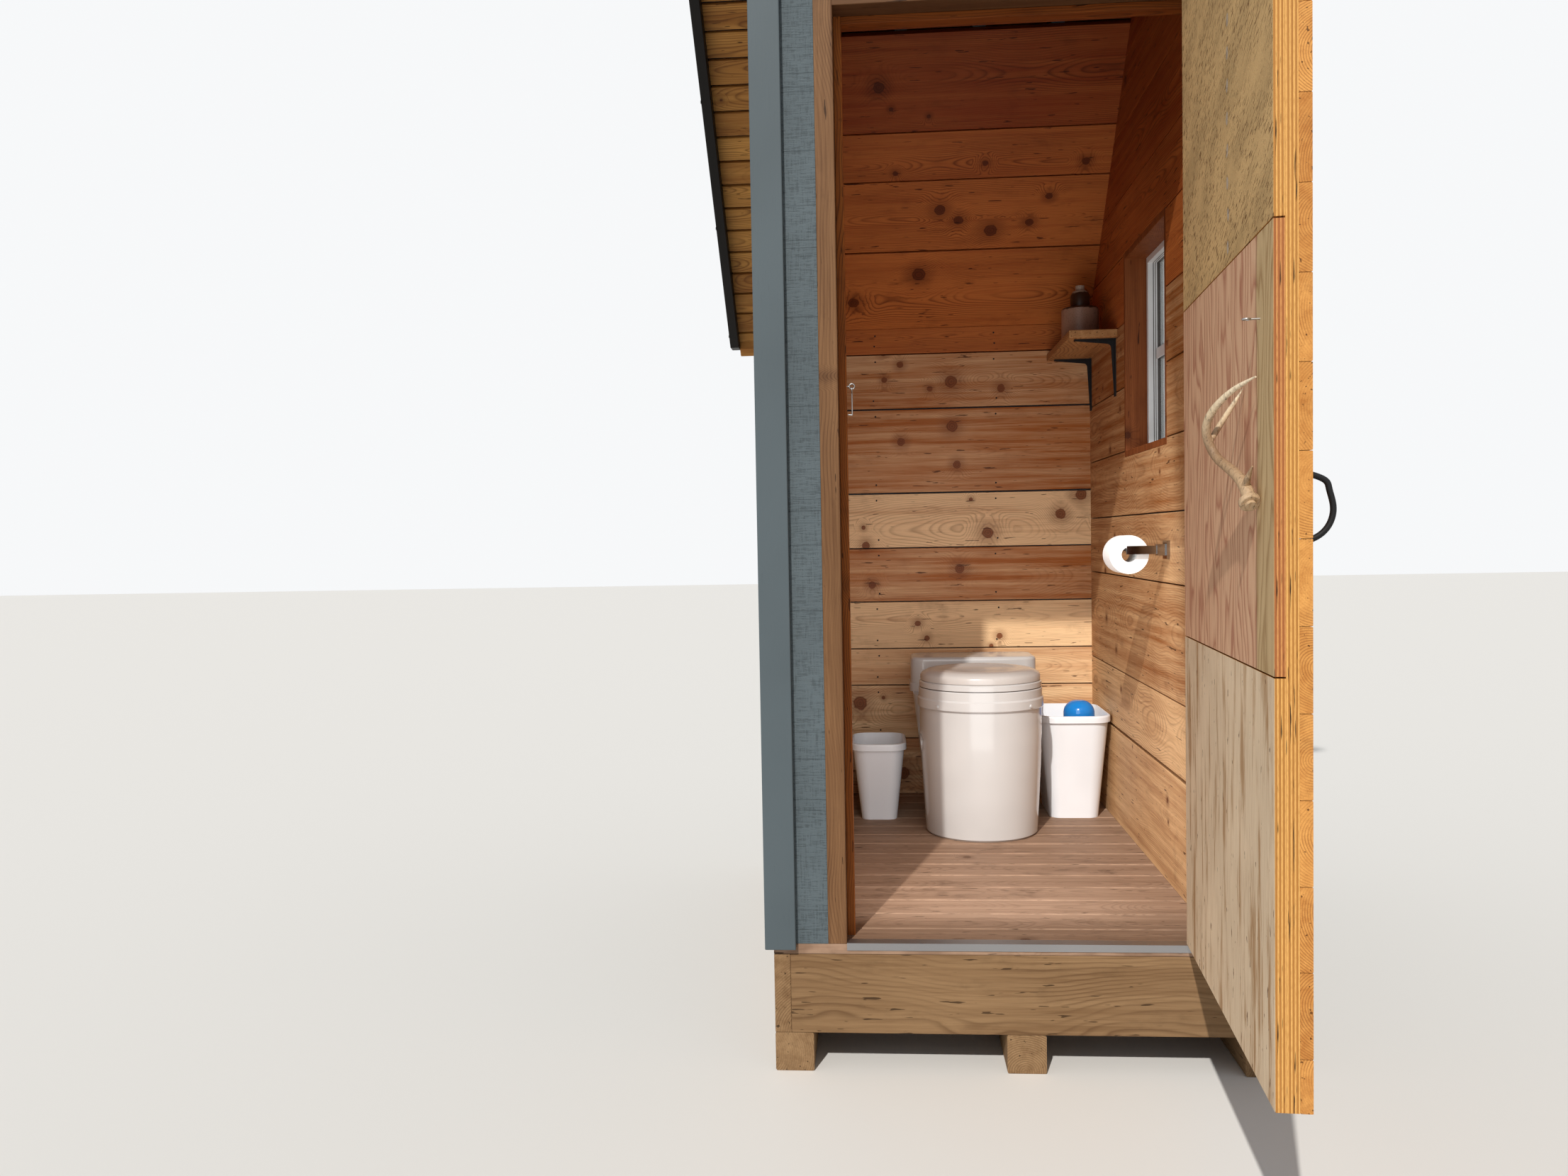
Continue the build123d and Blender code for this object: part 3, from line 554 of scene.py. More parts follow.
class Boards:
    """Collects boards and makes one piece of them."""

    def __init__(self):
        self.mesh = bmesh.new()
        self.grain = []
        self.tone = []
        self.faces = []

    def add(self, low, high, along="X", tone=0.5, edge=0.0015, cuts=(), turn=None,
            shift=None, start=None, finish=0):
        """low and high are corners in metres before turn, start is where the grain counts
        from, and finish is the number of the board's material in the piece."""
        low, high = Vector(low), Vector(high)
        middle, size = (low + high) / 2, high - low
        board = bmesh.new()
        bmesh.ops.create_cube(board, size=1, matrix=Matrix.Translation(middle) @ Matrix.Diagonal((*size, 1)))
        for point, normal in cuts:
            rim = saw_off(board, point, normal)
            if rim and board.faces:
                bmesh.ops.edgeloop_fill(board, edges=rim)
        if not board.faces:
            board.free()
            return
        run, wide, deep = AXES[along]
        if size[deep] > size[wide]:
            wide, deep = deep, wide
        long_edges = [e for e in board.edges
                      if abs((e.verts[1].co - e.verts[0].co).normalized()[run]) > NEARLY_PARALLEL]
        round_edges(board, long_edges, edge)
        shift = shift or grain_shift()
        for vert in board.verts:
            place = vert.co - (start or middle)
            self.grain.append((place[run] + shift[0], place[wide] + shift[1], place[deep] + shift[2]))
            self.tone.append(tone)
        self.faces += [finish] * len(board.faces)
        if turn:
            bmesh.ops.transform(board, matrix=turn, verts=board.verts)
        bmesh.ops.recalc_face_normals(board, faces=board.faces)
        part = to_mesh("board", board)
        self.mesh.from_mesh(part)
        bpy.data.meshes.remove(part)

    def piece(self, name, body, slot, materials, *replaced):
        mesh = to_mesh(name, self.mesh, *materials)
        note_grain(mesh, self.grain, self.tone)
        mesh.polygons.foreach_set("material_index", self.faces)
        mesh.update()
        return settle(name, mesh, body, replaced)


# %% [markdown]
# ## The cabin's lining
# The back wall is boarded across, with boards of very different widths, pale and dark
# ones mixed. Random widths would be quicker, but a wall is recognised by its boards, so
# their heights and tones are listed one by one. The same holds for the side walls and the
# sloping ceiling, where one gap has opened wide. High up on the walls the boards get
# darker tones and the red ceiling stain as painted shade under the roof.

# %% Board the back wall
BACK_SEAMS = (0, 0.204, 0.398, 0.531, 0.701, 0.895, 1.093, 1.395, 1.590, CREASE - FLOOR)
# The top board takes the red ceiling stain, and the one below it a darker tone, as painted shade under the
# roof.
BACK_TONES = (0.44, 0.24, 0.34, -0.10, 0.80, 0.02, 0.80, 0.58, 0.1)
TOP_BOARD_IN_PAINTED_SHADE = len(BACK_TONES) - 1
GAP = 0.004
WIDE_GAP = 0.006
WIDE_BACK_BOARDS = (5, 6)

boards = Boards()
for number, (low, high, tone) in enumerate(zip(BACK_SEAMS, BACK_SEAMS[1:], BACK_TONES)):
    top = high - (WIDE_GAP if number in WIDE_BACK_BOARDS else GAP)
    finish = 1 if number == TOP_BOARD_IN_PAINTED_SHADE else 0
    boards.add((-FRAME_X, IN_Y, FLOOR + low), (FRAME_X, BACK_Y, FLOOR + top), "X", tone, finish=finish)
boards.piece("back_boards", "outhouse", "stained_pine", (back_wood, red_wood_with_painted_shade), "back_lining")

# %% What is left of a board beside the window
hole_low, hole_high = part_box("window_reveal")


def outside_hole(y0, y1, z0, z1):
    """The up to four rectangles, each as (y0, y1, z0, z1), that lie round the window's hole."""
    h0, h1 = hole_low, hole_high
    if z1 <= h0.z or z0 >= h1.z:
        return [(y0, y1, z0, z1)]
    parts = [(y0, h0.y, z0, z1), (h1.y, y1, z0, z1)]
    if z0 < h0.z:
        parts.append((h0.y, h1.y, z0, h0.z))
    if z1 > h1.z:
        parts.append((h0.y, h1.y, h1.z, z1))
    return parts


# %% Board the side walls, with a hole for the window on the right
SIDE_SEAMS = (0, 0.308, 0.498, 0.800, 0.988, 1.185, 1.380, 1.575, 1.778,
              1.96, 2.16, 2.35, 2.56, 2.75, 2.95, 3.16, 3.3)
# From board 5 up the tones are darker, and from board 7 up the red ceiling stain is used, both as painted
# shade high on the walls.
SIDE_TONES = (0.26, 0.14, 0.52, 0.44, 0.56, 0.66, 0.80, 0.3, 0.5, 0.8, 0.6, 0.8, 0.7, 0.9, 0.8, 0.9)
PAINTED_SHADE_FROM = 7
OPEN_GAP = 0.010
ceiling_cut = Vector((0, IN_Y, CREASE)), Vector((0, 1, 1)).normalized()

boards = Boards()
for side in (-1, 1):
    x0, x1 = sorted((side * IN_X, side * FRAME_X))
    for number, (low, high, tone) in enumerate(zip(SIDE_SEAMS, SIDE_SEAMS[1:], SIDE_TONES)):
        top = high - (OPEN_GAP if number == 0 else GAP)
        whole = (-IN_Y, IN_Y, FLOOR + low, FLOOR + top)
        start = Vector(((x0 + x1) / 2, 0, FLOOR + (low + high) / 2))
        shift = grain_shift()
        finish = 1 if number >= PAINTED_SHADE_FROM else 0
        for y0, y1, z0, z1 in outside_hole(*whole) if side == 1 else [whole]:
            boards.add((x0, y0, z0), (x1, y1, z1), "Y", tone, edge=0.001, cuts=[ceiling_cut],
                       shift=shift, start=start, finish=finish)
boards.piece("side_boards", "outhouse", "stained_pine", (side_wood, red_wood_with_painted_shade), "side_linings")

# %% Board the sloping ceiling
SLOPE_SEAMS = (0, 0.305, 0.567, 0.734, 1.045, 1.26, 1.50, 1.70, 1.93, 2.2)
SLOPE_TONES = (0.05, 0.0, 0.25, 0.75, 0.7, 0.8, 0.7, 0.8, 0.8)
CEILING_GAPS = {1: 0.006, 4: 0.014}
CREASE_LAP = 0.04
ROOF_SLOPE = Matrix.Rotation(math.radians(-45), 4, "X")
slope_turn = Matrix.Translation((0, IN_Y, CREASE)) @ ROOF_SLOPE
thickness = FRAME_X - IN_X

boards = Boards()
for number, (low, high, tone) in enumerate(zip(SLOPE_SEAMS, SLOPE_SEAMS[1:], SLOPE_TONES)):
    start = low if number else low - CREASE_LAP
    end = start + CEILING_GAPS.get(number, GAP)
    boards.add((-FRAME_X, -high, 0), (FRAME_X, -end, thickness), "X", tone, turn=slope_turn)
boards.piece("ceiling_boards", "outhouse", "stained_pine", (red_wood_with_painted_shade,), "ceiling_lining")

# %% [markdown]
# ## The floor
# The floor is made of narrow deck boards that run across the cabin. Their edges are
# rounded, and feet have worn the stain off along them. The boards could be one mesh with
# an Array modifier, but a loop gives each board a tone and a grain of its own.

# %% Lay the floor boards
DECK_GAP = 0.003
NARROWEST = 0.01
boards = Boards()
start = floor_low.y
while start < floor_high.y - NARROWEST:
    end = min(start + DECK_PITCH - DECK_GAP, floor_high.y)
    tone = rng.uniform(0.25, 0.60)
    boards.add((floor_low.x, start, floor_low.z), (floor_high.x, end, floor_high.z), "X", tone, edge=0.003)
    start += DECK_PITCH
boards.piece("deck_boards", "outhouse", "floor_pine", (floor_wood,), "floor_boards")

# %% [markdown]
# ## The roof
# Under the roof sheet lie narrow boards whose undersides show at the eaves, with a dark
# gap between every two. A black board closes each rake, and a stained one the eave. The
# boards are laid level, turned to the slope together and cut upright at the roof's ends,
# which is simpler than working out each one's place on the slope.

# %% Lay the roof boards
SOFFIT_PITCH = 0.086
SOFFIT_GAP = 0.008
EAVE_REST = 0.046
DECK_THICK = 0.019
deck_low, deck_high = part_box("roof_deck")
deck_turn = Matrix.Translation((0, deck_high.y, deck_low.z)) @ ROOF_SLOPE
deck_back = deck_turn.inverted()
length = (deck_high.y - deck_low.y) * math.sqrt(2)
ends = [(Vector((0, y, 0)), Vector((0, way, 0))) for y, way in ((deck_low.y, -1), (deck_high.y, 1))]
trims = [(deck_back @ point, deck_back.to_3x3() @ normal) for point, normal in ends]

boards = Boards()
start, end = -DECK_THICK, EAVE_REST
while start < length + DECK_THICK:
    tone = rng.uniform(0.1, 0.8)
    low, high = (deck_low.x, SOFFIT_GAP - end, 0), (deck_high.x, -start, DECK_THICK)
    boards.add(low, high, "X", tone, edge=0.003, cuts=trims, turn=deck_turn)
    start, end = end, end + SOFFIT_PITCH
boards.piece("soffit_boards", "outhouse", "stained_soffit", (soffit_wood,), "roof_deck")

# %% [markdown]
# ## The doorway's frame
# Jambs and stops are plain planed boards. The CAD frame is one solid, and its grain would
# run through the corners. So each board is made new, with its own grain and soft edges,
# and so are the skids. The stop is a redder strip on the inside of each jamb.

# %% Make jambs and head
JAMB = 0.043
frame_low, frame_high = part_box("door_frame")
inner_left, inner_right = frame_low.x + JAMB, frame_high.x - JAMB
head = frame_high.z - JAMB
jambs = (
    (frame_low.x, inner_left, frame_low.z, "Z", 0.45, (3, 0.02, 0.05)),
    (inner_right, frame_high.x, frame_low.z, "Z", 0.5, (7, 0.01, 0.04)),
    (inner_left, inner_right, head, "X", 0.9, (12, 0.01, 0.04)),
)
boards = Boards()
for x0, x1, z0, along, tone, shift in jambs:
    boards.add((x0, frame_low.y, z0), (x1, frame_high.y, frame_high.z), along, tone, shift=shift)
print("clear doorway", round(inner_right - inner_left, 3), "wide, head at", round(head, 3))

# %% Make the stops
STOP = 0.018
STOP_DEEP = 0.038
STOP_Y = FRONT + 0.063
stops = (
    (inner_left, inner_left + STOP, frame_low.z, "Z", 0.4, (1, 0, 0.03)),
    (inner_right - STOP, inner_right, frame_low.z, "Z", 0.5, (5, 0, 0.03)),
    (inner_left + STOP, inner_right - STOP, head - STOP, "X", 0.9, (9, 0, 0.03)),
)
for x0, x1, z0, along, tone, shift in stops:
    boards.add((x0, STOP_Y, z0), (x1, STOP_Y + STOP_DEEP, head), along, tone, shift=shift, finish=1)
boards.piece("jambs_and_stops", "outhouse", "light_pine", (jamb_wood, stop_wood), "door_frame")

# %% Base timbers
SKID = 0.089
skid_low, skid_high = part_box("skids")
boards = Boards()
for side in (-1, 0, 1):
    x = side * (skid_high.x - SKID / 2)
    low, high = (x - SKID / 2, skid_low.y, skid_low.z), (x + SKID / 2, skid_high.y, skid_high.z)
    boards.add(low, high, "Y", 0.5, edge=0.004)
boards.piece("skid_timbers", "outhouse", "sawn_timber", (raw_wood,), "skids")

# %% [markdown]
# ## The door
# The door is three layers thick. Outside are boards laid across, in the middle a sheet
# of ply, and inside three sheets cut from different leftovers: rough tan above, striped
# rose and olive in the middle, weathered grey below. Each sheet is one board with a
# recipe of its own, because they differ in more than the stain. A second material gives
# the cut edges their layers.

# %% Cut edges of the ply
PLY_LAYER = 0.0058


def ply_edge(name, pale, deep):
    w = Recipe(name)
    place = w.grain_place()
    through = w.plus(w.split(place)[2], w.sway(place, (3, 3, 60), 0.0006))
    layer = w.math("FRACT", w.divided(through, PLY_LAYER))
    bands = w.ramp(layer, [(0.0, 0.0), (0.45, 0.1), (0.52, 1.0), (0.92, 0.8), (1.0, 0.0)])
    void = w.step(w.stretched(place, (11, 11, 300)), 0.64, 0.70)
    fleck = w.step(w.stretched(place, (90, 90, 500), 2), 0.4, 0.7)
    colour = w.cover(w.blend(bands, pale, deep), fleck, 0.35, deep)
    colour = w.blend(void, colour, (0.03, 0.015, 0.008))
    w.bump(w.minus(bands, void), 0.0008)
    return w.finish(colour, 0.6, 0.2)


edge_ply = ply_edge("golden_ply_edge", (0.74, 0.40, 0.12), (0.40, 0.165, 0.035))
edge_red = ply_edge("reddish_ply_edge", (0.60, 0.27, 0.09), (0.32, 0.10, 0.03))
print("ply edges:", edge_ply.name, edge_red.name)

# %% The rough tan sheet, with slanting checks and pale plugs
SLANT_RUN, SLANT_RISE = 0.44, 0.90
PLUG_PITCH = 0.058
PLUG_TALL, PLUG_WIDE = 0.013, 0.009
PLUG_COLUMN = 0.067


def rough_sheet(name, base, dark, plug):
    w = Recipe(name)
    place = w.grain_place()
    along, across = w.split(place)[0:2]
    run = w.minus(w.times(along, SLANT_RUN), w.times(across, SLANT_RISE))
    cross = w.plus(w.times(along, SLANT_RISE), w.times(across, SLANT_RUN))
    slanted = w.add("CombineXYZ", X=run, Y=cross).outputs[0]
    checks = w.step(w.stretched(slanted, (40, 250, 1), 2), 0.585, 0.615)
    checks = w.times(checks, w.step(w.noise(place, 7.0, 2), 0.30, 0.50))
    cloud = w.stretched(slanted, (3, 9, 1), 4, 0.6)
    colour = w.blend(w.step(cloud, 0.35, 0.7), base, shade(base, 0.72))
    row = w.minus(w.math("FRACT", w.divided(along, PLUG_PITCH)), 0.5)
    tall = w.divided(w.times(row, PLUG_PITCH), PLUG_TALL)
    wide = w.divided(w.plus(across, w.plus(w.sway(place, (9, 1, 1), 0.02), PLUG_COLUMN)), PLUG_WIDE)
    oval = w.plus(w.times(tall, tall), w.times(wide, wide))
    colour = w.cover(colour, w.step(oval, 1.9, 1.0), 0.5, shade(base, 0.4))
    colour = w.cover(colour, w.step(oval, 1.0, 0.6), 0.9, plug)
    colour = w.cover(colour, checks, 0.85, dark)
    w.bump(w.minus(w.times(w.noise(place, 160, 4), 0.5), checks), 0.0014)
    return w.finish(colour, 0.8, DULL)


top_sheet = rough_sheet("rough_tan_sheet", (0.68, 0.45, 0.21), (0.15, 0.07, 0.025), (0.50, 0.42, 0.34))
print("top sheet:", top_sheet.name)

# %% The striped sheet, rose brown with an olive band at the free edge
STRIPES = 24.0
BAND_EDGE = 0.285, 0.300
BAND_LINE = 0.292


def striped_sheet(name, rose, dark_rose, olive, dark_olive):
    w = Recipe(name)
    place = w.grain_place()
    across = w.split(place)[1]
    field = w.plus(w.times(across, STRIPES), w.sway(place, (1.7, 6.5, 1), 5.5))
    field = w.plus(field, w.sway(place, (6, 30, 1), 0.5))
    stripe = w.ramp(w.math("FRACT", field), [(0.0, 0.1), (0.25, 0.0), (0.6, 0.35), (0.85, 1.0), (1.0, 0.1)])
    fine = w.stretched(place, (5, 260, 1), 3, 0.6)
    stripe = w.plus(w.times(stripe, 0.75), w.times(w.step(fine, 0.4, 0.75), 0.35), clamp=True)
    border = w.plus(across, w.sway(place, (3.5, 1, 1), 0.02))
    in_band = w.step(border, -BAND_EDGE[0], -BAND_EDGE[1])
    colour = w.blend(stripe, w.blend(in_band, rose, olive), w.blend(in_band, dark_rose, dark_olive))
    rim = w.step(w.math("ABSOLUTE", w.plus(border, BAND_LINE)), 0.006, 0.001)
    colour = w.cover(colour, rim, 0.6, shade(dark_rose, 0.6))
    w.bump(w.minus(fine, w.times(stripe, 0.5)), 0.0006)
    return w.finish(colour, 0.7, DULL)


middle_sheet = striped_sheet("striped_sheet", (0.78, 0.50, 0.32), (0.42, 0.17, 0.105),
                             (0.64, 0.47, 0.26), (0.36, 0.22, 0.10))
print("middle sheet:", middle_sheet.name)


# %% The weathered sheet, grey beige with brown streaks and small tears
def weathered_sheet(name, grey, brown, dark):
    w = Recipe(name)
    place = w.grain_place()
    streaks = w.stretched(place, (2.4, 22, 1), 5, 0.68)
    fine = w.stretched(place, (8, 260, 1), 3, 0.6)
    cloud = w.step(w.noise(place, 4.5), 0.42, 0.7)
    tears = w.step(w.stretched(place, (20, 70, 1), 3, 0.6), 0.66, 0.70)
    colour = w.cover(grey, w.step(streaks, 0.49, 0.62), 0.95, brown)
    colour = w.cover(colour, w.step(fine, 0.42, 0.7), 0.35, brown)
    colour = w.cover(colour, cloud, 0.35, shade(grey, 1.25))
    colour = w.blend(tears, colour, dark)
    w.bump(w.minus(fine, tears), 0.0012)
    return w.finish(colour, 0.85, DULL)


bottom_sheet = weathered_sheet("weathered_sheet", (0.78, 0.62, 0.44), (0.42, 0.245, 0.12),
                               (0.14, 0.06, 0.025))
print("bottom sheet:", bottom_sheet.name)

# %% [markdown]
# The door is built closed and turned on its hinges to the angle at which it stands open.
# Built open, every board would need slanting corners.

# %% Build the door's boards and core
HINGE = Vector((0.4225, -0.912, 0))
DOOR_ANGLE = math.radians(85.6)
LEAF_LEFT, LEAF_RIGHT = -0.402, 0.420
DOOR_FOOT, DOOR_TOP = 0.008, 2.117
FIRST_SEAM, SECOND_SEAM = 0.096, 0.235
BOARD_PITCH = 0.1369
BOARD_GAP = 0.0010
seams = [DOOR_FOOT, FIRST_SEAM] + [SECOND_SEAM + BOARD_PITCH * n for n in range(14)] + [DOOR_TOP]
layers = [FRONT + depth for depth in (0, 0.020, 0.040, 0.058)]
open_door = Matrix.Translation(HINGE) @ Matrix.Rotation(DOOR_ANGLE, 4, "Z") @ Matrix.Translation(-HINGE)


def leaf(layer, low, high):
    """The two corners of a part of one layer, between two heights over the floor."""
    return (LEAF_LEFT, layers[layer], FLOOR + low), (LEAF_RIGHT, layers[layer + 1], FLOOR + high)


boards = Boards()
for low, high in zip(seams, seams[1:]):
    tone = rng.uniform(0.2, 0.7)
    boards.add(*leaf(0, low, high - BOARD_GAP), "X", tone, edge=0.0012, turn=open_door)
boards.piece("door_outer_boards", "door", "stained_pine", (door_wood,), "door_boards")

boards = Boards()
boards.add(*leaf(1, DOOR_FOOT, DOOR_TOP), "Z", edge=0.0005, turn=open_door, shift=(0, 0, 0.010))
boards.piece("door_ply_core", "door", "door_core", (edge_ply,), "door_core")

# %% Fit the three inner sheets
SHEETS = (
    ("bottom", DOOR_FOOT, 0.7005, bottom_sheet, edge_ply, "weathered_ply"),
    ("middle", 0.7035, 1.4145, middle_sheet, edge_red, "warm_ply"),
    ("top", 1.4175, DOOR_TOP, top_sheet, edge_ply, "warm_ply"),
)
door_face = Vector((-math.sin(DOOR_ANGLE), math.cos(DOOR_ANGLE), 0))
for label, low, high, front, rim, slot in SHEETS:
    boards = Boards()
    boards.add(*leaf(2, low, high), "Z", edge=0.0012, turn=open_door, shift=(0, 0, 0.009))
    sheet = boards.piece("door_sheet_" + label, "door", slot, (front, rim), "door_panel_" + label)
    for polygon in sheet.data.polygons:
        polygon.material_index = 0 if abs(polygon.normal.dot(door_face)) > NEARLY_PARALLEL else 1

# %% [markdown]
# ## Paint
# The corner boards are planed and carry a smooth slate-blue paint. The siding beside
# them is rough sawn, with fine upright strokes and short level ones, and the same paint
# follows every mark. As geometry these would take millions of faces, so they are a bump.

# %% Smooth paint, also the base of plastic and metal
EVEN = (1, 1, 1)


def paint(name, colour, rough, size, relief, marks=EVEN, wear=0.2, metallic=0.0, shine=0.5, seams=(), axis=2):
    """size is the distance between marks in metres, marks stretches them along X, Y and Z,
    seams are lines of painted shade in gaps round the piece, each a place on the axis and half a width."""
    w = Recipe(name)
    place = w.object_place()
    fine = w.noise(w.scaled(place, marks), 1.0 / size, 4, 0.6)
    tint = w.blend(w.step(w.noise(place, 2.0), 0.3, 0.7), shade(colour, 0.9), shade(colour, 1.08))
    if wear:
        tint = w.cover(tint, w.step(fine, 0.62, 0.85), wear, shade(colour, 0.35))
    # Each seam is drawn dark as painted shade in the gap between two parts.
    for middle, half in seams:
        line = w.step(w.math("ABSOLUTE", w.minus(w.split(place)[axis], middle)), half, half * 0.6)
        tint = w.blend(line, tint, (0.06, 0.05, 0.045))
    w.bump(fine, relief)
    return w.finish(tint, rough, shine, Metallic=metallic)


smooth_paint = paint("smooth_slate_paint", (0.082, 0.106, 0.120), 0.5, 0.004, 0.0002,
                     marks=(1, 1, 0.08), wear=0.3, shine=0.25)
black_paint = paint("black_stain", (0.012, 0.010, 0.009), 0.5, 0.02, 0.0003, shine=0.2)
roof_paint = paint("roof_sheet_paint", (0.045, 0.045, 0.05), 0.35, 0.03, 0.0001, marks=(1, 0.1, 0.1))
print("smooth paints:", smooth_paint.name, black_paint.name, roof_paint.name)


# %% Paint on rough sawn siding
def sawn_paint(name, colour):
    """Upright fibre strokes, short level saw strokes and now and then a level line, with painted shade in the
    hollows.
    """
    w = Recipe(name)
    place = w.object_place()
    upright = w.stretched(place, (260, 260, 24), 4, 0.65)
    level = w.stretched(place, (36, 36, 380), 3, 0.65)
    lines = w.step(w.stretched(place, (0.6, 0.6, 190), 1), 0.70, 0.74)
    height = w.plus(w.times(upright, 0.6), w.times(level, 0.7))
    tint = w.blend(w.step(w.noise(place, 3.0), 0.3, 0.7), shade(colour, 0.88), shade(colour, 1.1))
    # The hollows of the marks are painted darker as shade.
    tint = w.cover(tint, w.step(height, 0.66, 0.54), 0.6, shade(colour, 0.45))
    tint = w.cover(tint, lines, 0.35, shade(colour, 0.4))
    w.bump(w.minus(height, w.times(lines, 0.3)), 0.0022)
    return w.finish(tint, 0.6, 0.25)


rough_paint = sawn_paint("rough_sawn_slate_paint", (0.098, 0.126, 0.142))
print("siding paint:", rough_paint.name)

# %% [markdown]
# ## Metal, plastic, glaze and bone
# These are small recipes with a plain colour, a little unevenness and the right gloss.
# Zinc is dull, the paper holder is polished and coloured dark as a painted reflection of
# the dim cabin, the toilet is glossy plastic greyed as painted shade, and the bins are a
# little softer. All of them suit the paint recipe with other numbers. The jar is speckled
# clay with a dark shoulder, and the antler is brown at its bend and bleached at its tips,
# which are made paler still as a painted highlight, so a ramp along Z does what a painted
# map would do.

# %% Plain metals
zinc = paint("worn_zinc", (0.45, 0.45, 0.45), 0.38, 0.008, 0.0001, metallic=1.0)
strip_metal = paint("worn_strip_metal", (0.36, 0.36, 0.37), 0.45, 0.008, 0.0001, metallic=1.0)
iron = paint("matt_black_iron", (0.012, 0.012, 0.013), 0.55, 0.004, 0.0002, shine=0.2)
# The chrome's colour is dark as a painted reflection of the dim cabin.
chrome = paint("polished_chrome", (0.36, 0.34, 0.33), 0.1, 0.05, 0.00001, wear=0.0, metallic=1.0)
print("metals:", zinc.name, strip_metal.name, iron.name, chrome.name)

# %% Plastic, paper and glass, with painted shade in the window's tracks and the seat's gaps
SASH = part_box("window_frame")[0].x
SEAT_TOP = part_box("toilet_seat")[1].z
TRACK_SHADES = ((SASH + 0.0165, 0.0016), (SASH + 0.0225, 0.0014), (SASH + 0.0325, 0.0062))
SEAT_GAP_SHADES = ((FLOOR + 0.4607, 0.0017), (SEAT_TOP - 0.0024, 0.0012))
GLOSS = {"size": 0.05, "relief": 0.00002, "wear": 0.0}
# The toilet's white is greyed well below the bins' white as painted shade, and the lid is greyer still.
WHITE_IN_PAINTED_SHADE = (0.52, 0.51, 0.505)
gloss_white = paint("glossy_white", WHITE_IN_PAINTED_SHADE, 0.16, **GLOSS)
seat_white = paint("glossy_white_seat", WHITE_IN_PAINTED_SHADE, 0.16, seams=SEAT_GAP_SHADES, **GLOSS)
lid_white = paint("lid_white", (0.47, 0.44, 0.42), 0.2, **GLOSS)
blue_gloss = paint("blue_gloss", (0.012, 0.20, 0.58), 0.12, **GLOSS)
bin_white = paint("bin_white", (0.82, 0.84, 0.88), 0.34, 0.003, 0.00005, wear=0.0)
vinyl = paint("white_vinyl", (0.74, 0.75, 0.76), 0.35, 0.02, 0.00005, wear=0.0, seams=TRACK_SHADES, axis=0)
tissue = paint("soft_paper", (0.84, 0.84, 0.83), 0.9, 0.004, 0.0003, wear=0.03)
glass = Recipe("window_glass").finish((0.95, 0.98, 0.97, 1), 0.02, IOR=1.45, Transmission_Weight=1.0)
print("window tracks:", len(TRACK_SHADES), "seat seams:", len(SEAT_GAP_SHADES))


# %% Clay and bone
def height_bands(name, node, stops, speck_size, speck, rough, relief, marks=EVEN):
    """Colours from the node's foot to its top, with specks on them."""
    low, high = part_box(node)
    w = Recipe(name)
    place = w.object_place()
    share = w.add("MapRange", Value=w.split(place)[2], i1=low.z, i2=high.z).outputs[0]
    share = w.plus(share, w.sway(place, (60, 60, 60), 0.03))
    specks = w.noise(w.scaled(place, marks), 1.0 / speck_size, 4, 0.65)
    colour = w.cover(w.ramp(share, stops), w.step(specks, 0.5, 0.75), speck, (0.05, 0.025, 0.012))
    w.bump(specks, relief)
    return w.finish(colour, rough)


clay = height_bands("speckled_stoneware", "soap_jar", [
    (0.0, (0.33, 0.20, 0.14)), (0.55, (0.36, 0.22, 0.155)), (0.57, (0.040, 0.016, 0.009)),
    (0.86, (0.04, 0.016, 0.008)), (0.88, (0.38, 0.29, 0.22)), (1.0, (0.42, 0.33, 0.26)),
], 0.004, 0.75, 0.4, 0.0002)
# The brown bend is the antler's own colour. The pale tips are its bleaching, made paler still as a painted
# highlight of the sun.
bone = height_bands("antler_bone", "antler_handle", [
    (0.0, (0.56, 0.40, 0.25)), (0.20, (0.50, 0.34, 0.20)), (0.38, (0.38, 0.245, 0.14)),
    (0.48, (0.27, 0.165, 0.09)), (0.60, (0.44, 0.30, 0.18)), (0.78, (0.74, 0.58, 0.38)),
    (1.0, (0.90, 0.77, 0.57)),
], 0.006, 0.85, 0.42, 0.003, (1, 1, 0.25))
print("finishes:", len(bpy.data.materials))

# %% [markdown]
# ## Softened copies of the shaped parts
# The CAD meshes are loose triangles with hard shading. Turned, lofted and bent parts
# look better with smooth shading, and sawn boards with a small bevel. Their shape is
# right already, so none is modelled anew. A copy of the mesh is merged, its flat faces
# are joined again where that helps, edges sharper than a given angle stay sharp or get
# the bevel, and the copy stands in for the CAD node.

# %% Copy, merge and soften a CAD node
GRAIN_OFFSET = 0.35


